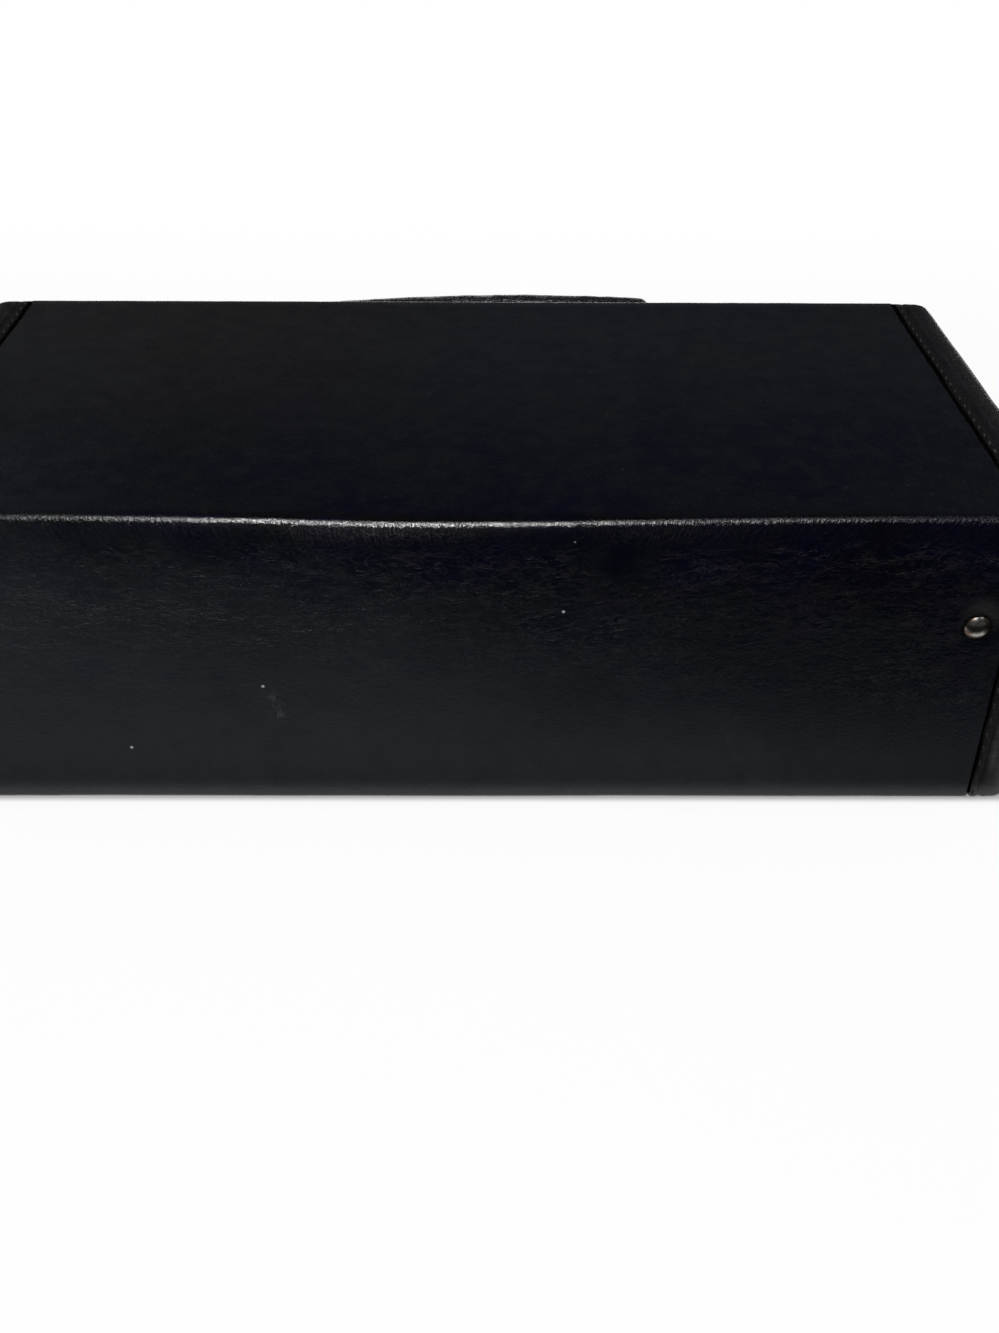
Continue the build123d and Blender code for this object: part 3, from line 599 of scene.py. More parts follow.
def pleat_pattern(f):
    """Fine strokes that run down from the hinge wall's top edge and draw in towards its middle."""
    x, y, z = f.axes(f.place)
    below = f.minus(HEIGHT, z)
    lean = f.times(f.times(x, PLEAT_LEAN), below)
    fanned = f.joined(f.plus(x, lean), y, z)
    return f.noise(fanned, (1.1, 6.0, 6.0), 3.0, 0.6, 0.3)


def nickel():
    """Bright plate with fine scratches and dull patches."""
    f = Finish("nickel")
    patches = f.noise(f.place, 5.0, 4.0)
    colour = f.mix(f.span(patches, 0.35, 0.7), (0.60, 0.575, 0.53), (0.72, 0.70, 0.66))
    scratches = f.noise(f.turned(f.place, 31, "Y_AXIS"), (0.12, 6.0, 6.0), 2.0)
    rough = f.plus(f.span(patches, 0.3, 0.75, 0.16, 0.3), f.span(scratches, 0.6, 0.75, 0.0, 0.15))
    normal = f.bump(scratches, 0.004, strength=0.15)
    return f.set(Base_Color=colour, Metallic=1.0, Roughness=rough, Normal=normal)


def rivet_metal():
    """Nickel plate, dark brown in patches over part of it."""
    f = Finish("rivet_metal")
    brown_patches = f.noise(f.moved(f.place, (3.0, 0.0, 8.0)), 2.6, 3.0, 0.5)
    colour = f.mix(f.span(brown_patches, 0.42, 0.58), (0.66, 0.64, 0.60), (0.26, 0.19, 0.15))
    return f.set(Base_Color=colour, Metallic=1.0, Roughness=f.span(brown_patches, 0.4, 0.65, 0.2, 0.3))


def groove_shadow():
    """The bottom of a seam's groove: a painted shadow, dull black with a little lint."""
    f = Finish("groove_shadow", bends=True)
    lint = f.noise(f.place, 0.9, 3.0)
    colour = f.mix(f.span(lint, 0.6, 0.75), PAINTED_SHADE_BLACK, WORN_BLACK)
    return f.set(Base_Color=colour, Roughness=0.9, Specular_IOR_Level=0.03)


def steel():
    f = Finish("steel")
    marks = f.noise(f.place, (0.5, 4.0, 4.0), 3.0)
    colour = f.mix(marks, (0.36, 0.36, 0.37), (0.5, 0.5, 0.5))
    return f.set(Base_Color=colour, Metallic=1.0, Roughness=f.span(marks, 0.3, 0.7, 0.28, 0.42))


def moulded_plastic():
    """The rack: matte black plastic with a fine mould texture and faint shine on its crests."""
    f = Finish("rack")
    texture = f.noise(f.place, 0.45, 2.0)
    flow = f.noise(f.place, (40.0, 12.0, 12.0), 3.0)
    colour = f.mix(flow, (0.014, 0.014, 0.015), (0.026, 0.026, 0.028))
    dust = f.noise(f.place, 2.5, 5.0)
    colour = f.mix(f.span(dust, 0.6, 0.75, 0.0, 0.35), colour, (0.09, 0.088, 0.082))
    normal = f.bump(texture, 0.03, strength=0.6)
    return f.set(Base_Color=colour, Roughness=f.span(flow, 0.3, 0.7, 0.42, 0.55), Normal=normal)


def flock():
    """Black flocked paper: short upright fibres, brushed this way and that."""
    f = Finish("lining")
    nap = f.noise(f.place, 14.0, 3.0)
    fibres = f.noise(f.place, 0.3, 3.0, 0.7)
    colour = f.mix(f.span(nap, 0.35, 0.65), (0.016, 0.016, 0.018), (0.032, 0.032, 0.036))
    colour = f.mix(f.span(fibres, 0.4, 0.8, 0.0, 0.6), colour, (0.06, 0.06, 0.065))
    normal = f.bump(fibres, 0.15, strength=0.8)
    return f.set(
        Base_Color=colour, Roughness=0.95, Normal=normal, Sheen_Weight=0.3, Sheen_Roughness=0.5
    )


THREAD_PITCH = 0.7  # of woven cloth


def brushed_cloth(name, light, bends=False):
    """Woven cloth with a crossed thread pattern."""
    f = Finish(name, bends)
    x, _, z = f.axes(f.place)
    warp, weft = (f.math("SINE", f.times(along, 2 * math.pi / THREAD_PITCH)) for along in (x, z))
    weave = f.plus(f.times(warp, weft), f.noise(f.place, 0.4, 2.0))
    nap = f.noise(f.place, 9.0, 4.0)
    dark = tuple(0.55 * c for c in light)
    colour = f.mix(f.span(weave, -0.6, 1.4), dark, light)
    colour = f.mix(f.span(nap, 0.4, 0.7, 0.0, 0.4), colour, tuple(1.4 * c for c in light))
    normal = f.bump(weave, 0.08, strength=0.7)
    return f.set(
        Base_Color=colour, Roughness=0.9, Normal=normal, Sheen_Weight=0.25, Sheen_Roughness=0.4
    )


def greyboard():
    f = Finish("board")
    pulp = f.noise(f.place, (1.2, 1.2, 0.5), 5.0, 0.65)
    layers = f.noise(f.place, (30.0, 30.0, 0.35), 2.0)
    colour = f.mix(pulp, (0.15, 0.115, 0.075), (0.27, 0.21, 0.14))
    colour = f.mix(f.span(layers, 0.55, 0.75, 0.0, 0.5), colour, (0.1, 0.08, 0.055))
    return f.set(Base_Color=colour, Roughness=0.92, Normal=f.bump(pulp, 0.1, strength=0.6))


def thread():
    f = Finish("thread")
    twist = f.noise(f.turned(f.place, 35, "X_AXIS"), (0.25, 0.9, 0.9), 3.0)
    _, y, z = f.axes(f.place)
    # Painted highlight: the thread is paler on the top towards the hinge wall, in patches, standing for the
    # glints its stitches catch
    on_top = f.span(z, HEIGHT - 5.0, HEIGHT - 1.5)
    uneven_glints = f.noise(f.place, 9.0, 2.0)
    near = f.span(y, -HALF_DEPTH, 10.0, 1.0, 0.12)
    near = f.times(near, f.span(uneven_glints, 0.4, 0.56, 0.25, 1.0))
    worn = f.mix(f.times(on_top, near), (0.012, 0.012, 0.013), (0.105, 0.105, 0.11))
    colour = f.mix(f.span(twist, 0.35, 0.65), (0.008, 0.008, 0.009), worn)
    return f.set(Base_Color=colour, Roughness=0.6, Normal=f.bump(twist, 0.1), Specular_IOR_Level=0.4)


FINISHES = {
    "sheet": leatherette("main_sheet", bends=True, dust_and_sheen=True),
    "end_sheet": leatherette("end_sheet", bends=True, grey=0.6),
    "grip": leatherette("grip_sheet", bends=True),
    "plain_sheet": leatherette("plain_sheet"),
    "groove": groove_shadow(),
    "nickel": nickel(),
    "rivet": rivet_metal(),
    "steel": steel(),
    "rack": moulded_plastic(),
    "lining": flock(),
    "pad": brushed_cloth("pad", (0.045, 0.045, 0.05)),
    "tape": brushed_cloth("tape", (0.03, 0.03, 0.032), bends=True),
    "board": greyboard(),
    "thread": thread(),
}
SLOT_FINISH = {"leatherette": "plain_sheet"}
SOFTENED = {"nickel": 0.25, "rack": 0.5}  # width of the bevel on the hard pieces of a slot


def dress_cad_nodes():
    """Gives each carried CAD node its finish, and softens the cut edges of the hard ones."""
    for row in frame["record"]["subparts"]:
        node = frame["nodes"][row["node"]]
        slot = row["material_slot"]
        node.data.materials.clear()
        node.data.materials.append(FINISHES[SLOT_FINISH.get(slot, slot)])
        if slot in SOFTENED:
            soften(node, SOFTENED[slot])


def soften(node, radius):
    weld = node.modifiers.new("weld", "WELD")
    weld.merge_threshold = 0.002 * MM
    bevel = node.modifiers.new("bevel", "BEVEL")
    bevel.width = radius * MM
    bevel.segments = 2
    bevel.limit_method = "ANGLE"
    bevel.angle_limit = math.radians(40)
    bevel.harden_normals = True


# ---------------------------------------------------------------- main sheets

# The long top edge over the hinge wall sags in the middle and rises a little towards the ends
SAG_CENTRE = -8.0
SAG_WIDTH = 60.0
SAG_DEPTH = 0.65
END_RISE = 0.8
SAG_REACH_TOP = 16.0
SAG_REACH_WALL = 24.0
# It stands a little higher again over this stretch
CREST_CENTRE = -92.0
CREST_WIDTH = 34.0
CREST_HEIGHT = 0.6
BACK_RISE = 0.5  # how far the lid's far edge stands up
# The wall bows outwards below it
BOW_CENTRE = -12.0
BOW_WIDTH = 62.0
BOW_DEPTH = 1.15
BOW_REACH_WALL = 62.0
# The edge is rounded more over two stretches, each a centre, a width and a share
SOFT_STRETCHES = ((-84.0, 44.0, 0.9), (22.0, 34.0, 0.6))
SOFT_EDGE_DEPTH = 0.85
SOFT_EDGE_REACH = 3.2
# How worn the edge is, as (place along it, share)
EDGE_WEAR = (
    (-170, 0.06), (-125, 0.18), (-112, 0.14), (-81, 0.36), (-57, 0.6), (-34, 0.85), (-18, 1.0),
    (-2, 0.95), (14, 0.7), (29, 0.45), (45, 0.3), (61, 0.3), (77, 0.2), (108, 0.12), (140, 0.04),
    (170, 0.02),
)
# Smaller rises and dips of the edge, each a centre, a width and a height
EDGE_WAVES = ((-57.0, 20.0, 0.45), (36.0, 16.0, -0.1))
EDGE_LEAN = 0.2  # how far the wall leans back just below the edge
EDGE_LEAN_REACH = 4.5
# Creases of the hinge wall, each a start and an end, as (x, z), and a width
CREASES = (((136.8, 75.2), (154.6, 72.2), 1.2), ((-139.5, 68.3), (-110.3, 59.5), 1.6))
CREASE_DEPTH = 0.3
RIVET_DIMPLE = 0.5  # how far the sheet is drawn in round each rivet


def wall_bow(places):
    """How far each point moves out with the bowed wall, in millimetres."""
    x, y, z = np.moveaxis(places, -1, 0)
    on_top = smoothstep(SAG_REACH_TOP, 0, y + HALF_DEPTH)
    on_wall = smoothstep(HEIGHT - BOW_REACH_WALL, HEIGHT, z)
    return BOW_DEPTH * hill(x, BOW_CENTRE, BOW_WIDTH) * on_top * on_wall


def edge_sag(places):
    """How far each point drops with the sagging edge, in millimetres."""
    x, y, z = np.moveaxis(places, -1, 0)
    drop = SAG_DEPTH * hill(x, SAG_CENTRE, SAG_WIDTH) - END_RISE * smoothstep(60, 150, np.abs(x))
    drop = drop - CREST_HEIGHT * hill(x, CREST_CENTRE, CREST_WIDTH)
    drop = drop - sum(height * hill(x, centre, width) for centre, width, height in EDGE_WAVES)
    on_top = smoothstep(SAG_REACH_TOP, 0, y + HALF_DEPTH)
    on_wall = smoothstep(HEIGHT - SAG_REACH_WALL, HEIGHT, z)
    at_seam = smoothstep(SEAM - 1, SEAM - 14, np.abs(x))
    return drop * on_top * on_wall * at_seam - far_rise(places)


def far_rise(places):
    """How far each point rises at the lid's far edge, in millimetres."""
    _, y, z = np.moveaxis(places, -1, 0)
    return BACK_RISE * smoothstep(HALF_DEPTH - 22, HALF_DEPTH, y) * smoothstep(HEIGHT - 22, HEIGHT, z)


def main_relief(places, normals):
    """How far the main sheet stands out of its plain shape, in millimetres."""
    x, y, z = np.moveaxis(places, -1, 0)
    on_hinge_wall = np.clip(-normals[..., 1], 0, 1)
    relief = 0.12 * waviness(places, (55, 40, 40), 3)
    relief += 0.05 * waviness(places, (9, 9, 9), 5)
    from_edge = np.hypot(y + HALF_DEPTH, z - HEIGHT)
    soft = sum(share * hill(x, centre, width) for centre, width, share in SOFT_STRETCHES)
    relief -= SOFT_EDGE_DEPTH * soft * hill(from_edge, 0, SOFT_EDGE_REACH)
    relief -= on_hinge_wall * EDGE_LEAN * hill(HEIGHT - z, 0, EDGE_LEAN_REACH)
    relief += pleats_at_edge(places)
    relief += on_hinge_wall * hinge_wall_relief(places)
    for side in (-1, 1):
        around = np.hypot(x - side * HINGE_RIVET_X, z - HINGE_RIVET_Z)
        relief -= on_hinge_wall * RIVET_DIMPLE * hill(around, HINGE_RIVET_RADIUS + 0.6, 1.8)
    tuck_width = 1.2 + 0.7 * smoothstep(HEIGHT - 4, HEIGHT - 1, z)
    tuck = smoothstep(SEAM - tuck_width, SEAM - 0.45 * tuck_width, np.abs(x))
    return relief * (1 - tuck) - TUCK_DEPTH * tuck * (1 - 0.7 * at_far_edge(places))


def pleats_at_edge(places):
    """Fine strokes that run down from the hinge wall's top edge and draw in towards its middle."""
    x, _, z = np.moveaxis(places, -1, 0)
    below = HEIGHT - z
    fanned = np.stack([x + PLEAT_LEAN * x * below, 0 * x, z], -1)
    near = hill(below, 2.5, 4.5) * smoothstep(HALF_DEPTH - 4, HALF_DEPTH - 0.5, -places[..., 1])
    return 0.075 * near * waviness(fanned, (2.3, 9, 6), 53)


def hinge_wall_relief(places):
    """Wrinkles of the bending sheet: a band about the hinge, strongest at the left."""
    x, _, z = np.moveaxis(places, -1, 0)
    band = hill(z, PARTING - 9, 12)
    along = 0.35 + 0.65 * smoothstep(60, -120, x)
    slanted = places + np.stack([0 * x, 0 * x, 0.12 * x], -1)
    wrinkles = 0.36 * waviness(slanted, (16, 6, 3.8), 11, 3) * band * along
    creases = sum(line_hill(x, z, *crease) for crease in CREASES)
    return wrinkles - CREASE_DEPTH * creases - 0.12 * hill(z, PARTING, 3)


def line_hill(x, z, start, end, width):
    """A ridge along a line from start to end."""
    start, end = np.array(start), np.array(end)
    run = end - start
    t = np.clip(((x - start[0]) * run[0] + (z - start[1]) * run[1]) / (run @ run), 0, 1)
    away = np.hypot(x - start[0] - t * run[0], z - start[1] - t * run[1])
    return hill(away, 0, width) * smoothstep(0, 0.2, t) * smoothstep(1, 0.8, t)


def sheet_from_profile(name, corners, step):
    """A sheet that keeps one outline all along X, with its relief, thickness and masks."""
    line, normals = rounded_path(corners, step)
    end = SEAM + TUCK_LENGTH
    xs = spaced_through((-end, 0.3), (-SEAM + 2, 0.9), (SEAM - 2, 0.3), (end, 0))
    places = grid_of(xs, line[:, :1], line[:, 1:])
    out = grid_of(0 * xs, normals[:, :1], normals[:, 1:])
    shaped = places + out * main_relief(places, out)[..., None]
    shaped[..., 1] -= wall_bow(places)
    shaped[..., 2] -= edge_sag(places)
    points, faces = thick_grid(shaped, out, SHEET)
    piece = new_object(name, points, faces, FINISHES["sheet"])
    add_sheet_masks(piece, np.concatenate([places.reshape(-1, 3)] * 2))
    paint_groove_shadows(piece)
    return piece


def add_sheet_masks(piece, places):
    """Where the sheet is worn, pleated, crinkled, wrinkled by the hinge, or painted dark with shade in a
    groove.
    """
    x, y, z = places.T
    hinge_edge = np.hypot(y + HALF_DEPTH, z - HEIGHT)
    other_edges = [
        np.hypot(np.abs(y) - HALF_DEPTH, z),
        np.hypot(y - HALF_DEPTH, z - HEIGHT),
        np.hypot(np.abs(np.abs(y) - HALF_DEPTH), z - PARTING) + 2 * (y < 0) * HALF_DEPTH,
    ]
    worn = hill(hinge_edge, 1.1, 2.9) * smoothstep(HEIGHT + 0.02, HEIGHT - 0.3, z)
    worn = worn * np.interp(x, *zip(*EDGE_WEAR))
    for edge in other_edges:
        worn = np.maximum(worn, 0.8 * hill(edge, 0, 3.5))
    set_mask(piece, "edge", worn)
    on_wall = smoothstep(HALF_DEPTH - 5, HALF_DEPTH - 1, -y)
    pleats = hill(z, HEIGHT - 3, 5) * on_wall
    set_mask(piece, "pleats", pleats * (0.6 + 0.45 * waviness(places, (30, 30, 30), 23)))
    crinkled = on_wall * smoothstep(38, 62, z + 0.1 * x) * smoothstep(HEIGHT - 4, HEIGHT - 14, z)
    set_mask(piece, "crinkled", crinkled * (0.5 + 0.5 * waviness(places, (26, 20, 20), 41)))
    ragged = 0.3 * waviness(places, (9, 5, 5), 37)
    start = SEAM - 1.1 - 0.9 * smoothstep(HEIGHT - 4, HEIGHT - 1, z)
    # Painted shade along the bottom of each seam's groove
    set_mask(piece, "groove", smoothstep(start, start + 0.7, np.abs(x) + ragged))
    band = hill(z, PARTING - 4, 19) * on_wall
    patchy = 0.6 + 0.6 * waviness(places, (38, 20, 12), 29)
    wrinkled = band * patchy * (0.35 + 0.65 * smoothstep(90, -110, x))
    set_mask(piece, "wrinkled", np.clip(wrinkled, 0, 1))


def paint_groove_shadows(piece):
    """Gives the faces at the bottom of both seams' grooves a finish of their own, a painted shadow with a
    ragged edge.
    """
    centres = np.array([face.center for face in piece.data.polygons]) / MM
    on_top = smoothstep(HEIGHT - 4, HEIGHT - 1, centres[:, 2])
    ragged = (0.3 + 0.3 * on_top) * waviness(centres, (6, 3.5, 3.5), 37)
    inside = np.abs(centres[:, 0]) + ragged > SEAM - 0.75 - 0.95 * on_top
    piece.data.materials.append(FINISHES["groove"])
    piece.data.polygons.foreach_set("material_index", inside.astype(np.int32))


def at_far_edge(places):
    """1 where the lid's face nears its edge over the handle wall, 0 elsewhere."""
    _, y, z = np.moveaxis(places, -1, 0)
    return smoothstep(HALF_DEPTH - 10, HALF_DEPTH - 2, y) * smoothstep(HEIGHT - 3, HEIGHT - 1, z)


def lid_and_hinge_sheet():
    """One sheet from inside the lid's handle wall, over the top, down the hinge wall and under the base."""
    corners = [
        (HALF_DEPTH - WALL_DEPTH, LID_RIM + TURN_IN, 0),
        (HALF_DEPTH - WALL_DEPTH, LID_RIM, RIM_INNER_RADIUS),
        (HALF_DEPTH, LID_RIM, RIM_OUTER_RADIUS),
        (HALF_DEPTH, HEIGHT, BACK_RADIUS),
        (-HALF_DEPTH, HEIGHT, EDGE_RADIUS),
        (-HALF_DEPTH, 0, FOOT_RADIUS),
        (-HALF_DEPTH + UNDERSIDE_LAP, 0, 0),
    ]
    piece = sheet_from_profile("lid_and_hinge_sheet", corners, step=1.5)
    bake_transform(piece)
    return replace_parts(piece, "lid_cover", "hinge_strip")


def base_sheet():
    """The sheet from under the base, up its handle wall and over the rim."""
    corners = [
        (-HALF_DEPTH + UNDERSIDE_LAP + 0.3, 0, 0),
        (HALF_DEPTH, 0, FOOT_RADIUS),
        (HALF_DEPTH, BASE_RIM, RIM_OUTER_RADIUS),
        (HALF_DEPTH - WALL_DEPTH, BASE_RIM, RIM_INNER_RADIUS),
        (HALF_DEPTH - WALL_DEPTH, BASE_RIM - TURN_IN, 0),
    ]
    piece = sheet_from_profile("base_sheet", corners, step=3.0)
    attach(piece, "base")
    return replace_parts(piece, "base_cover")


# ---------------------------------------------------------------- end sheets

BEAD_CENTRE = SEAM + 1.4
SECOND_CREASE = SEAM + 3.4
SECOND_BEAD = SEAM + 4.8
END_CROWN = 1.2  # how far the end sheets swell out over the end boards


def rounded_outline(x, y, inset):
    """Moves points of a sharp rectangle, inset from the case's outline, onto one with round corners."""
    radius = np.maximum(CORNER_RADIUS - inset, 0.3)
    cx = np.minimum(x, HALF_WIDTH - inset - radius)
    cy = np.clip(y, -(HALF_DEPTH - inset - radius), HALF_DEPTH - inset - radius)
    dx, dy = x - cx, y - cy
    length = np.hypot(dx, dy)
    safe = np.where(length < 1e-9, 1, length)
    scale = np.where(length < 1e-9, 0, radius / safe)
    inside = (np.abs(dx) < 1e-9) & (np.abs(dy) < 1e-9)
    return np.where(inside, x, cx + dx * scale), np.where(inside, y, cy + dy * scale)


def onto_case(x, y, k, radius):
    """A point of the sharp outer box, k below its closed face, moved onto the case's rounded box."""
    inset = np.minimum(HALF_WIDTH - x, HALF_DEPTH - np.abs(y))
    a = np.minimum(inset, radius) - radius
    b = np.minimum(k, radius) - radius
    length = np.maximum(np.hypot(a, b), 1e-9)
    scale = np.where(length < 1e-6, 0, radius / length)
    new_inset = np.where(inset < radius, radius + a * scale, inset)
    new_k = np.where(k < radius, radius + b * scale, k)
    shift = new_inset - inset
    x_side = (HALF_WIDTH - x) <= (HALF_DEPTH - np.abs(y)) + 1e-9
    y_side = (HALF_DEPTH - np.abs(y)) <= (HALF_WIDTH - x) + 1e-9
    x = np.where(x_side, x - shift, x)
    y = np.where(y_side, y - np.sign(y) * shift, y)
    x = np.minimum(x, HALF_WIDTH - new_inset)
    limit = HALF_DEPTH - new_inset
    y = np.clip(y, -limit, limit)
    near = new_inset < CORNER_RADIUS
    rx, ry = rounded_outline(x, y, new_inset)
    return np.where(near, rx, x), np.where(near, ry, y), new_k


def end_sheet_points(depth, radius):
    """Outer points and faces of the right-hand end sheet, whose closed face is at k = 0."""
    xs = spaced_through((SEAM, 0.35), (SEAM + 5, 0.8), (HALF_WIDTH - 7, 0.55), (HALF_WIDTH, 0))
    ys = spaced_through(
        (-HALF_DEPTH, 0.55), (-HALF_DEPTH + 7, 2.6), (HALF_DEPTH - 7, 0.55), (HALF_DEPTH, 0)
    )
    ks = spaced_through((0, 0.4), (EDGE_RADIUS + 0.5, 2.4), (depth - RIM_OUTER_RADIUS, 0))
    around = [(x, -HALF_DEPTH) for x in xs] + [(HALF_WIDTH, y) for y in ys[1:-1]]
    around += [(x, HALF_DEPTH) for x in xs[::-1]]
    corners = [
        (0, depth - RIM_OUTER_RADIUS, 0),
        (0, depth, RIM_OUTER_RADIUS * 0.98),
        (WALL_DEPTH, depth, RIM_INNER_RADIUS),
        (WALL_DEPTH, depth - TURN_IN, 0),
    ]
    rim, _ = rounded_path(corners, step=1.6, arc_step=0.5)
    places, kinds, index = [], [], {}

    def vertex(key, place, kind):
        if key not in index:
            index[key] = len(places)
            places.append(place)
            kinds.append(kind)
        return index[key]

    def outer(x, y, k):
        key = (round(float(x), 4), round(float(y), 4), round(float(k), 4))
        moved = onto_case(np.array(x), np.array(y), np.array(k), radius)
        return vertex(key, [float(v) for v in moved], 1.0)

    def turned(column, row):
        x, y = around[column]
        x, y, _ = onto_case(np.array(x), np.array(y), np.array(depth), radius)
        inner_x = min(float(x), HALF_WIDTH - WALL_DEPTH)
        inner_y = float(np.clip(y, -HALF_DEPTH + WALL_DEPTH, HALF_DEPTH - WALL_DEPTH))
        share = rim[row][0] / WALL_DEPTH
        place = [float(x) + (inner_x - float(x)) * share, float(y) + (inner_y - float(y)) * share]
        return vertex(("rim", column, row), [*place, float(rim[row][1])], 0.0)

    faces = []
    for i in range(len(around) - 1):
        for a, b in zip(ks, ks[1:]):
            corners = ((i, a), (i, b), (i + 1, b), (i + 1, a))
            faces.append([outer(*around[column], k) for column, k in corners])
        for row in range(len(rim) - 1):
            low = [outer(*around[i + s], ks[-1]) if row == 0 else turned(i + s, row) for s in (0, 1)]
            faces.append([low[0], turned(i, row + 1), turned(i + 1, row + 1), low[1]])
    for a, b in zip(xs, xs[1:]):
        for c, d in zip(ys, ys[1:]):
            faces.append([outer(a, c, 0), outer(b, c, 0), outer(b, d, 0), outer(a, d, 0)])
    return np.array(places), np.array(kinds), faces


def end_relief(places, outside, seed):
    """The rolled edge, the bead along the seam and the second crease, with slight unevenness."""
    x, y, k = places.T
    wander = 0.35 * waviness(places, (40, 40, 40), seed)
    from_seam = x - SEAM
    edge = -0.25 * hill(from_seam, 0, 0.55)
    blotchy = 0.75 + 0.5 * waviness(places, (5, 6, 6), seed + 17)
    bead = 0.24 * blotchy * hill(x, BEAD_CENTRE + wander, 1.1)
    bead = bead + 0.26 * (1.5 - blotchy) * hill(x, SECOND_BEAD + wander, 1.0)
    crease = -0.42 * hill(x, SECOND_CREASE + wander, 0.7)
    plain = smoothstep(HALF_DEPTH - 10, HALF_DEPTH - 2, y) * smoothstep(3, 1, k)
    bead, crease = bead * (1 - 0.7 * plain), crease * (1 - 0.7 * plain)
    uneven = 0.09 * waviness(places, (11, 14, 14), seed + 4)
    uneven = uneven + 0.14 * waviness(places, (40, 34, 34), seed + 7)
    return (edge + (bead + crease) * (x < HALF_WIDTH - 6) + uneven) * outside


def end_swell(places, seed):
    """How far each point moves outwards along X: a full end wall, and a seam that isn't quite straight."""
    x, y = places[:, 0], places[:, 1]
    along = 0.35 + 0.65 * smoothstep(0, 16, HALF_DEPTH - np.abs(y))
    wobble = 0.28 * waviness(places, (9, 9, 9), seed + 11) * hill(x, SEAM, 2.2)
    return END_CROWN * along * smoothstep(SEAM + 6, HALF_WIDTH - 0.5, x) + wobble


def end_sheet(half, side):
    """The leatherette over one end of the lid or base, folded over the long faces as far as the seam."""
    is_lid = half == "lid"
    name = f"{half}_end_sheet_{side}"
    seed = 31 + 10 * is_lid + 5 * (side == "left")
    depth = HEIGHT - LID_RIM if is_lid else BASE_RIM
    places, kinds, faces = end_sheet_points(depth, EDGE_RADIUS if is_lid else FOOT_RADIUS)
    mirror_x = -1 if side == "left" else 1
    x, y, k = places.T
    shape = places.copy()
    shape[:, 0] += end_swell(places, seed)
    shape[:, 2] = HEIGHT - k if is_lid else k
    # The faces wind outwards for one of the four; each mirroring turns them over
    flipped = (mirror_x < 0) ^ (not is_lid)
    if flipped:
        faces = [f[::-1] for f in faces]
    shape[:, 0] *= mirror_x
    piece = new_object(name, shape, faces, FINISHES["end_sheet"])
    normals = np.array([v.normal for v in piece.data.vertices])
    relief = end_relief(places, kinds, seed)
    shaped = shape + normals * relief[:, None]
    shaped[:, 2] += far_rise(shape)
    piece.data.vertices.foreach_set("co", (shaped * MM).astype(np.float32).ravel())
    from_end, from_wall = HALF_WIDTH - x, HALF_DEPTH - np.abs(y)
    worn = hill(k, 0, 3.5) * hill(np.minimum(from_end, from_wall), 0, 3.5)
    upright = hill(np.hypot(from_end, from_wall), 0, 4)
    rubbed = (0.1 + 0.14 * waviness(places, (4, 5, 5), seed + 19)) * hill(x, SECOND_BEAD, 1.2)
    set_mask(piece, "edge", np.clip(worn + 0.7 * upright + rubbed, 0, 1))
    set_mask(piece, "pleats", 0.5 * upright * hill(k, 3, 6))
    set_mask(piece, "wrinkled", 0.12 * kinds)
    # Painted shade in the groove mask: along the seam, in the second crease and along the end's outer edge
    dotted = 0.5 + 0.5 * waviness(places, (3, 3, 3), seed + 13)
    dark = hill(x, SEAM, 0.6) + 0.85 * dotted * hill(x, SECOND_CREASE, 0.7)
    dark = dark + 0.55 * hill(from_end, 0.2, 0.9) * smoothstep(3, 1, k)
    set_mask(piece, "groove", np.clip(dark * kinds, 0, 1))
    edit_mesh(piece.data, weld_close_points)
    solid = piece.modifiers.new("thickness", "SOLIDIFY")
    solid.thickness = END_SHEET * MM
    solid.offset = -1
    apply_modifiers(piece)
    finish_mesh(piece.data, crisp=50)
    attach(piece, half)
    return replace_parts(piece, f"{half}_end_cover_{side}")


# ---------------------------------------------------------------- stitches

STITCH_PITCH = 5.9
STITCH_LENGTH = 2.6
STITCH_RADIUS = 0.42


def capsule(length, radius, rings=6, around=8):
    """Points and faces of a rounded rod along X that is arched down at its ends."""
    lift = []
    for t in np.linspace(0, math.pi, rings + 1)[1:-1]:
        lift.append((-math.cos(t) * length / 2, math.sin(t) ** 0.6 * radius))
    points = [[-length / 2, 0, -radius * 0.6]]
    for along, ring in lift:
        drop = -radius * 0.6 * (2 * along / length) ** 2
        for a in range(around):
            angle = 2 * math.pi * a / around
            points.append([along, ring * math.cos(angle), ring * math.sin(angle) + drop])
    points.append([length / 2, 0, -radius * 0.6])
    faces = [[0, 1 + (a + 1) % around, 1 + a] for a in range(around)]
    for r in range(len(lift) - 1):
        for a in range(around):
            b = (a + 1) % around
            low, high = 1 + r * around, 1 + (r + 1) * around
            faces.append([low + a, low + b, high + b, high + a])
    last = len(points) - 1
    ring = 1 + (len(lift) - 1) * around
    faces += [[ring + a, ring + (a + 1) % around, last] for a in range(around)]
    return np.array(points), faces


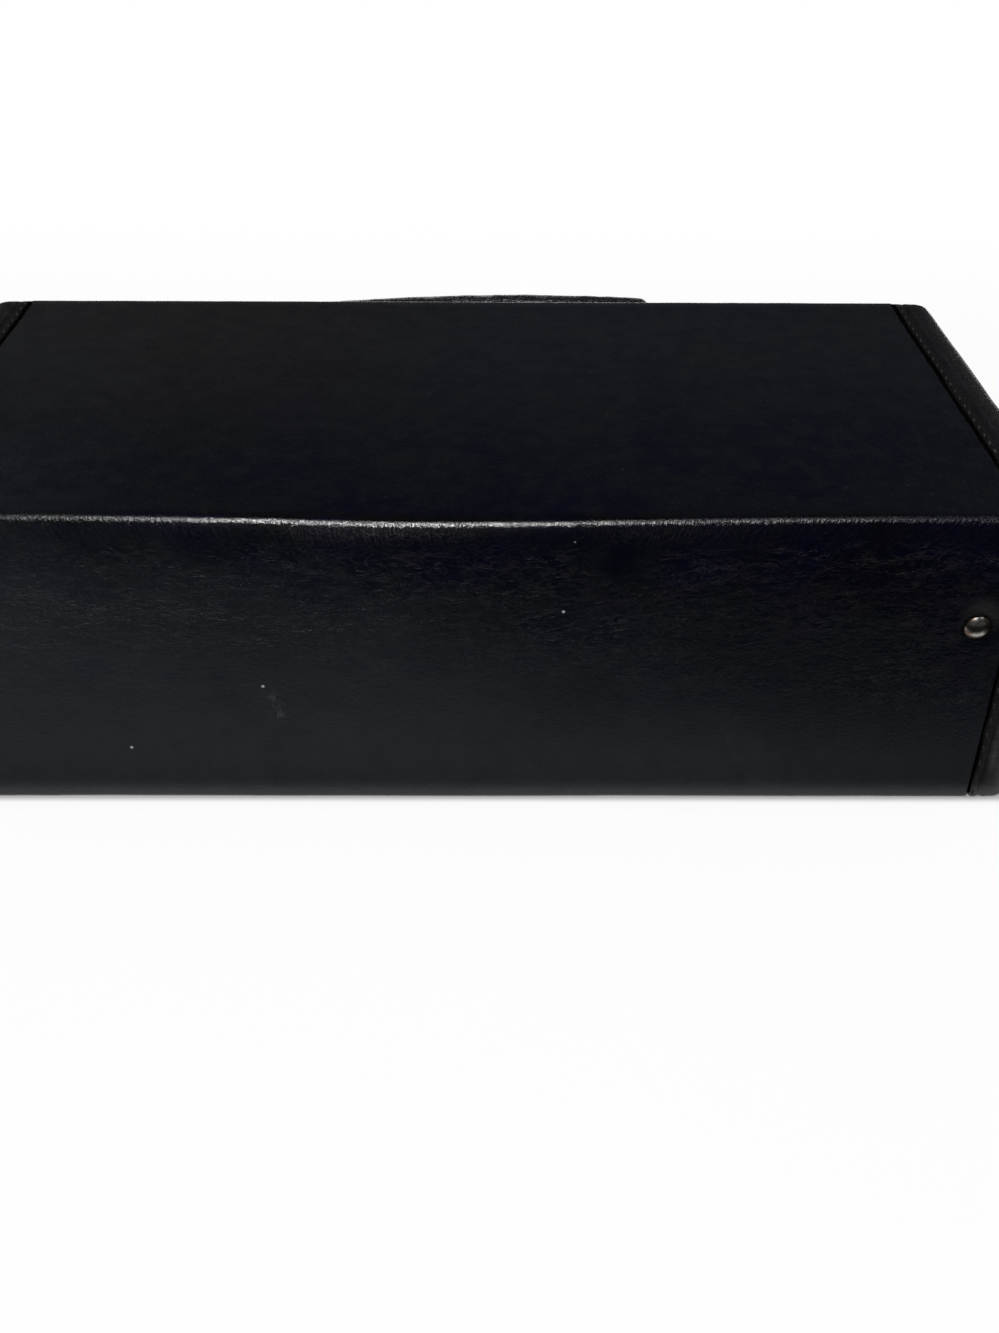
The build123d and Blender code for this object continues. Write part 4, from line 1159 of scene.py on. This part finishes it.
def stitch_row(name, line, normals, body, sideways, pitch=STITCH_PITCH, length=STITCH_LENGTH):
    """Separate stitches along a line of points, sunk half into what they hold."""
    lengths = lengths_along(line)
    chance = np.random.default_rng(len(name))
    rod, rod_faces = capsule(length, STITCH_RADIUS)
    points, faces = [], []
    for at in np.arange(pitch * 0.7, lengths[-1] - pitch * 0.5, pitch):
        at += chance.uniform(-0.25, 0.25)
        ends = [at_length(line, lengths, at + way) for way in (-0.8, 0.8)]
        out = at_length(normals, lengths, at)
        out /= np.linalg.norm(out)
        along = (ends[1] - ends[0]) / np.linalg.norm(ends[1] - ends[0])
        along = along + sideways * chance.uniform(0.02, 0.16)
        along -= out * (along @ out)
        along /= np.linalg.norm(along)
        axes = np.stack([along, np.cross(out, along), out])
        middle = (ends[0] + ends[1]) / 2 + out * 0.02
        faces += [[i + len(points) * len(rod) for i in f] for f in rod_faces]
        points.append(rod @ axes + middle)
    piece = new_object(name, np.concatenate(points), faces, FINISHES["thread"], crisp=60)
    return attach(piece, body)


def seam_stitches(half, side):
    """The row of stitches along one end sheet's bead, from rim to rim round the outside."""
    mirror_x = -1 if side == "left" else 1
    face = HEIGHT if half == "lid" else 0.0
    rim = LID_RIM + 2 if half == "lid" else BASE_RIM - 2
    corners = [
        (-HALF_DEPTH, rim, 0),
        (-HALF_DEPTH, face, EDGE_RADIUS if half == "lid" else FOOT_RADIUS),
        (HALF_DEPTH, face, BACK_RADIUS if half == "lid" else FOOT_RADIUS),
        (HALF_DEPTH, rim, 0),
    ]
    flat, out = rounded_path(corners, step=1.0)
    out = out * (-1 if half == "lid" else 1)
    x = mirror_x * (BEAD_CENTRE - 0.55)
    line = np.column_stack([np.full(len(flat), x), flat])
    normals = np.column_stack([np.zeros(len(flat)), out])
    line = line + normals * (0.2 - 0.4 * at_far_edge(line))[:, None]
    line[:, 2] += far_rise(line)
    outwards = np.array([mirror_x, 0, 0])
    return stitch_row(f"{half}_seam_stitches_{side}", line, normals, half, outwards)


# ---------------------------------------------------------------- hinge tape, springs

TAPE_THICKNESS = 0.45
SPRING_WIRE = 0.2  # radius of the springs' wire
SPRING_TURNS = 7


def hinge_tape():
    """The cloth tape glued across the joint inside."""
    x = spaced(tape_low[0], tape_high[0], 2.0)
    z = spaced(tape_low[2], tape_high[2], 0.6)
    places = grid_of(x, 0, z[::-1, None])
    joint = hill(places[..., 2], PARTING, 2.2)
    edge = np.minimum(places[..., 2] - tape_low[2], tape_high[2] - places[..., 2])
    relief = 0.05 * waviness(places, (6, 6, 6), 71) - 0.35 * joint - 0.15 * hill(edge, 0, 0.8)
    places[..., 1] = tape_high[1] + relief
    out = grid_of(0 * x, 1, 0 * z[:, None])
    points, faces = thick_grid(places, out, TAPE_THICKNESS)
    piece = new_object("hinge_tape_cloth", points, faces[:, ::-1], FINISHES["tape"])
    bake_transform(piece)
    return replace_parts(piece, "hinge_tape")


def tube(centres, radius, around=8):
    """Points and faces of a round wire along a line of points, with closed ends."""
    centres = np.asarray(centres, float)
    run = np.gradient(centres, axis=0)
    run /= np.linalg.norm(run, axis=1)[:, None]
    side = np.cross(run, [1.0, 0.02, 0.03])
    side /= np.linalg.norm(side, axis=1)[:, None]
    up = np.cross(run, side)
    angles = np.linspace(0, 2 * math.pi, around, endpoint=False)
    ring = np.cos(angles)[None, :, None] * side[:, None] + np.sin(angles)[None, :, None] * up[:, None]
    points = (centres[:, None] + radius * ring).reshape(-1, 3)
    return points, [face[::-1] for face in rod_faces(len(centres), around)]


def latch_spring(side):
    """The coil between a latch's slide and the end of its case, built at one length, though it shortens as
    the slide moves.
    """
    low, high = box_mm(f"latch_spring_{side}")
    radius = (high[2] - low[2]) / 2 - SPRING_WIRE
    angle = np.linspace(0, 2 * math.pi * SPRING_TURNS, 24 * SPRING_TURNS)
    x = np.linspace(low[0] + SPRING_WIRE, high[0] - SPRING_WIRE, len(angle))
    y = (low[1] + high[1]) / 2 + radius * np.cos(angle)
    z = (low[2] + high[2]) / 2 + radius * np.sin(angle)
    points, faces = tube(np.column_stack([x, y, z]), SPRING_WIRE)
    piece = new_object(f"latch_coil_{side}", points, faces, FINISHES["steel"], crisp=60)
    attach(piece, "base")
    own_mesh(piece)
    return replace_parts(piece, f"latch_spring_{side}")


# ---------------------------------------------------------------- hinge rivets

RIVET_SHANK_RADIUS = 1.5
RIVET_POINTS_AROUND = 56


def hinge_rivets():
    """The two dome rivets at the ends of the hinge, turned smooth, with their shanks."""
    dome = -HALF_DEPTH - rivet_low[1]
    sphere = (HINGE_RIVET_RADIUS**2 + dome**2) / (2 * dome)
    slopes = np.linspace(0.02, math.asin(HINGE_RIVET_RADIUS / sphere), 16)
    profile = [(sphere * math.sin(a), rivet_low[1] + sphere * (1 - math.cos(a))) for a in slopes]
    profile += [
        (HINGE_RIVET_RADIUS - 0.1, -HALF_DEPTH + 0.35),
        (RIVET_SHANK_RADIUS, -HALF_DEPTH + 0.4),
        (RIVET_SHANK_RADIUS, rivet_high[1] - 0.2),
        (RIVET_SHANK_RADIUS - 0.2, rivet_high[1]),
    ]
    profile = np.array(profile)
    around = RIVET_POINTS_AROUND
    angles = np.linspace(0, 2 * math.pi, around, endpoint=False)
    points, faces = [], []
    for side in (-1, 1):
        x = side * HINGE_RIVET_X + profile[:, :1] * np.cos(angles)
        z = HINGE_RIVET_Z + profile[:, :1] * np.sin(angles)
        faces += rod_faces(len(profile), around, len(points) * x.size)
        points.append(grid_of(x, profile[:, 1:], z))
    piece = new_object("hinge_rivets_turned", np.concatenate(points), faces, FINISHES["rivet"], crisp=50)
    edit_mesh(piece.data, lambda work: bmesh.ops.recalc_face_normals(work, faces=work.faces))
    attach(piece, "base")
    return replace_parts(piece, "hinge_rivets")


# ---------------------------------------------------------------- handle grip

GRIP_TILT = 0.0237  # how much one end hangs lower than the other, as a slope
GRIP_ARCH = 1.8
GRIP_RISE = -1.03
GRIP_TAPER = 0.2  # how much of its thickness it loses towards its ends
GRIP_ROUNDNESS = 0.88  # 1 for an oval outline, less for a boxier one
GRIP_END = 4.0  # length over which each end closes
GRIP_PINCH = 9.0  # length over which each end loses its relief
GRIP_POINTS_AROUND = 56


def handle_grip():
    """The padded grip: an oval bar in stitched leatherette, fullest in the middle."""
    half, half_y, half_z = (grip_high - grip_low) / 2
    middle = (grip_low + grip_high) / 2
    xs = spaced_through((-half, 0.25), (-half + GRIP_END, 1.3), (half - GRIP_END, 0.25), (half, 0))
    around = GRIP_POINTS_AROUND
    angles = np.linspace(0, 2 * math.pi, around, endpoint=False)
    taper = 1 - GRIP_TAPER * (np.abs(xs) / half) ** 2.4
    end = np.clip((half - np.abs(xs)) / GRIP_END, 0, 1)
    closing = np.maximum(np.sqrt(np.clip(1 - (1 - end) ** 2, 0.0, 1)), 0.02)
    y, z = (np.sign(v) * np.abs(v) ** GRIP_ROUNDNESS for v in (np.cos(angles), np.sin(angles)))
    size = (taper * closing)[:, None]
    places = grid_of(xs[:, None], middle[1] + half_y * size * y, half_z * size * z)
    out = grid_of(0 * xs[:, None], y, z)
    out /= np.linalg.norm(out, axis=-1)[..., None]
    # The seam runs along the grip's near side, drawn in, with a low ridge beside it
    seam = hill(angles, math.pi, 0.16)
    beside = hill(np.abs(angles - math.pi), 0.42, 0.12)
    uneven = 0.2 * waviness(places, (9, 7, 7), 83)
    relief = -0.5 * seam + 0.22 * beside + uneven + 0.07 * waviness(places, (3.2, 6, 6), 87)
    pinch = np.clip((half - np.abs(xs)) / GRIP_PINCH, 0, 1)[:, None]
    places = places + out * (relief * pinch)[..., None]
    arch = GRIP_ARCH * (0.5 - (places[..., 0] / half) ** 2)
    places[..., 2] += middle[2] + GRIP_RISE + GRIP_TILT * places[..., 0] + arch
    faces = rod_faces(len(xs), around)
    piece = new_object("handle_grip_cover", places, faces, FINISHES["grip"], crisp=60)
    flat = np.zeros(places.shape[:2])
    set_mask(piece, "edge", flat + (0.35 + 0.65 * hill(xs, 0, 45)[:, None]) * 0.8)
    set_mask(piece, "pleats", (1 - pinch) * 0.6 + 0.25 * beside)
    set_mask(piece, "wrinkled", flat + 0.25)
    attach(piece, "handle")
    line = places[4:-4, around // 2 - 3]
    normals = np.zeros_like(line)
    normals[:, 1] = -1
    upwards = np.array([0, 0, 1.0])
    stitch_row("handle_grip_stitches", line, normals, "handle", upwards, pitch=3.6, length=2.3)
    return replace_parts(piece, "handle_grip")


# ---------------------------------------------------------------- lid pad


def pad_outline(half_x, half_y, corner, count):
    """Points round a rounded rectangle, evenly spaced, going anticlockwise."""
    corners = [
        (half_x, 0, 0), (half_x, half_y, corner), (-half_x, half_y, corner),
        (-half_x, -half_y, corner), (half_x, -half_y, corner), (half_x, 0, 0),
    ]
    line, _ = rounded_path(corners, step=2.0, arc_step=1.5)
    lengths = lengths_along(line)
    return at_length(line, lengths, np.linspace(0, lengths[-1], count, endpoint=False))


# The pad's outline, as (share of its thickness, how far its side is drawn in)
PAD_SIDE = (
    (0.0, 2.5), (0.12, 0.9), (0.3, 0.1), (0.5, 0.3), (0.68, 1.6), (0.8, 4.0), (0.88, 7.5), (0.93, 11.0),
)
PAD_POINTS_AROUND = 520
PAD_RING_STEP = 1.6
PAD_CHANNEL_AT = 0.36  # places of the two sewn channels, as a share of the pad's half depth
PAD_CHANNEL_END = 16.0  # how far from the pad's ends they stop
PAD_CHANNEL_DEPTH = 0.5  # share of the pad's thickness


def pad_fullness(x, y, half):
    """How much of its thickness the pad keeps at each place inside its side."""
    fullness = 0.93 + 0.07 * smoothstep(10, 34, np.minimum(half[0] - np.abs(x), half[1] - np.abs(y)))
    puckers = waviness(np.stack([x, y, 0 * x], -1), (7, 22, 9), 61)
    for side in (-1, 1):
        across = y - side * PAD_CHANNEL_AT * half[1]
        sewn = smoothstep(half[0] - PAD_CHANNEL_END + 8, half[0] - PAD_CHANNEL_END - 8, np.abs(x))
        fullness = fullness - sewn * PAD_CHANNEL_DEPTH * hill(across, 0, 2.4)
        fullness = fullness - sewn * (0.1 + 0.07 * puckers) * hill(across, 0, 9.0)
    return fullness + 0.02 * waviness(np.stack([x, y, 0 * x], -1), (40, 30, 9), 67)


def lid_pad():
    """The padded panel in the lid: crowned, with its sides drawn in, sewn with two long channels."""
    half = (pad_high - pad_low)[:2] / 2
    thickness = pad_high[2] - pad_low[2]
    levels = list(PAD_SIDE) + [(None, inset) for inset in spaced(12.5, half[1] - 1.0, PAD_RING_STEP)]
    rings = []
    for share, inset in levels:
        corner = max(12 - inset * 0.5, 0.4)
        flat = pad_outline(half[0] - inset, half[1] - inset, corner, PAD_POINTS_AROUND)
        depth = pad_fullness(flat[:, 0], flat[:, 1], half) if share is None else np.full(len(flat), share)
        rings.append(np.column_stack([flat, pad_high[2] - depth * thickness]))
    faces = [list(f) for f in grid_faces(len(levels), PAD_POINTS_AROUND, closed=True)]
    piece = new_object("lid_pad_cushion", np.array(rings), faces, FINISHES["pad"], crisp=60)
    edit_mesh(piece.data, fill_holes)
    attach(piece, "lid")
    for side in (-1, 1):
        pad_stitches(side, half, thickness)
    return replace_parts(piece, "lid_pad")


def pad_stitches(side, half, thickness):
    """The stitches along the bottom of one of the pad's channels."""
    x = spaced(-half[0] + PAD_CHANNEL_END, half[0] - PAD_CHANNEL_END, 1.0)
    y = np.full(len(x), side * PAD_CHANNEL_AT * half[1])
    z = pad_high[2] - pad_fullness(x, y, half) * thickness
    down = np.tile([0.0, 0.0, -1.0], (len(x), 1))
    name = f"lid_pad_stitches_{'near' if side < 0 else 'far'}"
    line, across = np.column_stack([x, y, z]), np.array([0, 1.0, 0])
    stitch_row(name, line, down, "lid", across, pitch=4.2, length=2.8)


# ---------------------------------------------------------------- floor, light, camera

FLOOR_SIZE = 24
FLOOR_DROP = 0.0003  # keeps the floor clear of the case's underside
FLOOR_WHITE = 0.9
# How much of the floor's own white the camera sees; the rest is lit paper with the case's shadow
SEEN_WHITE_CONTACT = 0.04
SEEN_WHITE_NEAR = 0.9
SEEN_WHITE_CONTACT_REACH = 0.0036  # distances about the floor are in metres
SEEN_WHITE_REACH = (0.1, 0.5)
FLOOR_GLOW_NEAR = 0.62  # brightness that gloss sees close to the case
FLOOR_GLOW_FAR = 0.01  # and far from it, where the floor lies in the photographer's shadow
FLOOR_GLOW_REACH = 0.12
FLOOR_GLOW_SHRINK = 1.5  # that shadow comes this much nearer at the right
CONTACT_DARK = 0.28  # the floor's share of white where the case meets it, a painted contact shadow
CONTACT_REACH = 0.024


def floor():
    """A pale floor that reads as white paper and keeps the case's shadow."""
    bpy.ops.mesh.primitive_plane_add(size=FLOOR_SIZE, location=(0, 0, -FLOOR_DROP))
    ground = bpy.context.object
    ground.name = "floor"
    material = bpy.data.materials.new("floor")
    material.use_nodes = True
    s = Nodes(material.node_tree)
    place = s.add("ShaderNodeNewGeometry").outputs["Position"]
    x, y, _ = s.axes(place)
    beyond_end = s.minus(s.size_of(x), HALF_WIDTH * MM)
    beyond_wall = s.minus(s.size_of(y), HALF_DEPTH * MM)
    away = s.larger(beyond_end, beyond_wall)
    shrink = s.times(away, s.span(x, -0.08, 0.14, 1.0, FLOOR_GLOW_SHRINK))
    mirrored = s.span(shrink, 0.0, FLOOR_GLOW_REACH, FLOOR_GLOW_NEAR, FLOOR_GLOW_FAR)
    # A painted contact shadow where the case meets the floor, in what gloss sees and in the paper's colour
    mirrored = s.times(mirrored, s.span(away, 0.0, CONTACT_REACH, CONTACT_DARK, 1.0))
    shade = s.span(away, -0.01, CONTACT_REACH / 2, CONTACT_DARK * FLOOR_WHITE, FLOOR_WHITE)
    seen = s.add("ShaderNodeLightPath")
    by_gloss = s.larger(seen.outputs["Is Glossy Ray"], seen.outputs["Is Transmission Ray"])
    white = s.span(away, 0.0, SEEN_WHITE_CONTACT_REACH, SEEN_WHITE_CONTACT, SEEN_WHITE_NEAR)
    white = s.plus(white, s.span(away, *SEEN_WHITE_REACH, 0.0, 1 - SEEN_WHITE_NEAR))
    share = s.larger(by_gloss, s.times(seen.outputs["Is Camera Ray"], white))
    strength = s.larger(seen.outputs["Is Camera Ray"], mirrored)
    paper = s.put(s.add("ShaderNodeBsdfDiffuse"), Color=shade)
    glow = s.put(s.add("ShaderNodeEmission"), Color=(1, 1, 1, 1), Strength=strength)
    mix = s.add("ShaderNodeMixShader")
    for slot, value in enumerate((share, paper.outputs[0], glow.outputs[0])):
        s.give(mix.inputs[slot], value)
    s.put(s.add("ShaderNodeOutputMaterial"), Surface=mix.outputs[0])
    ground.data.materials.append(material)


WORLD_DIM = 0.02
WORLD_HORIZON = 0.07
WORLD_BRIGHT = 2.4
# Heights in the sky, as the sine of an angle above the horizon
SOFT_LIGHT_RISE = [math.sin(math.radians(angle)) for angle in (36, 50)]
DIM_FALL = [math.sin(math.radians(angle)) for angle in (12, 34)]


def world():
    """A dim studio with broad soft light high at both sides; the camera sees it as white."""
    made = bpy.data.worlds.new("studio")
    bpy.context.scene.world = made
    made.use_nodes = True
    s = Nodes(made.node_tree)
    x, _, z = s.axes(s.add("ShaderNodeTexCoord").outputs["Generated"])
    high = s.span(z, *SOFT_LIGHT_RISE)
    to_the_side = s.span(s.size_of(x), 0.32, 0.52)
    bright = s.times(s.times(high, to_the_side), WORLD_BRIGHT)
    low = s.span(z, *DIM_FALL, WORLD_HORIZON, WORLD_DIM)
    seen = s.add("ShaderNodeLightPath").outputs["Is Camera Ray"]
    strength = s.larger(s.plus(bright, low), seen)
    background = s.put(s.add("ShaderNodeBackground"), Strength=strength)
    s.put(s.add("ShaderNodeOutputWorld"), Surface=background.outputs[0])


def area_light(name, place, aim, size, radiance):
    """A rectangular lamp whose surface has this radiance."""
    data = bpy.data.lights.new(name, "AREA")
    data.shape = "RECTANGLE"
    data.size, data.size_y = size
    data.energy = radiance * math.pi * size[0] * size[1]
    lamp = bpy.data.objects.new(name, data)
    lamp.location = place
    lamp.rotation_euler = (Vector(aim) - Vector(place)).to_track_quat("-Z", "Y").to_euler()
    lamp.visible_camera = False
    bpy.context.scene.collection.objects.link(lamp)


def lights():
    area_light(
        "key", place=(-0.12, -0.66, 1.05), aim=(-0.02, -0.09, 0.10), size=(0.4, 0.5), radiance=15.0
    )
    # A low card for the handle wall, no higher than the lid's face, which it doesn't light
    area_light(
        "low_card", place=(0.05, 0.62, 0.052), aim=(0.0, 0.09, 0.05), size=(0.9, 0.09), radiance=1.6
    )


# The camera was fitted to the case's visible corners in the photograph
CAMERA_PLACE = (0.0107, -0.4523, 0.3027)
CAMERA_YAW = 0.51
CAMERA_DOWN = 34.60
CAMERA_ROLL = 0.38
LENS = 37.84
SENSOR_WIDTH = 36
NEAREST, FARTHEST = 0.01, 50  # what the camera sees, in metres


def camera():
    data = bpy.data.cameras.new("camera")
    data.sensor_fit = "AUTO"
    data.sensor_width = SENSOR_WIDTH
    data.lens = LENS
    data.clip_start, data.clip_end = NEAREST, FARTHEST
    made = bpy.data.objects.new("camera", data)
    yaw, down = math.radians(CAMERA_YAW), math.radians(CAMERA_DOWN)
    forward = Vector((math.sin(yaw) * math.cos(down), math.cos(yaw) * math.cos(down), -math.sin(down)))
    turn = forward.to_track_quat("-Z", "Y") @ Quaternion((0, 0, 1), math.radians(CAMERA_ROLL))
    made.rotation_mode = "QUATERNION"
    made.rotation_quaternion = turn
    made.location = CAMERA_PLACE
    bpy.context.scene.collection.objects.link(made)
    bpy.context.scene.camera = made


# ---------------------------------------------------------------- the whole case

camera()
dress_cad_nodes()
lid_and_hinge_sheet()
base_sheet()
for half_name in ("lid", "base"):
    for side_name in ("left", "right"):
        end_sheet(half_name, side_name)
        seam_stitches(half_name, side_name)
hinge_tape()
for side_name in ("left", "right"):
    latch_spring(side_name)
hinge_rivets()
handle_grip()
lid_pad()
floor()
world()
lights()
bpy.context.scene.view_settings.view_transform = "Standard"
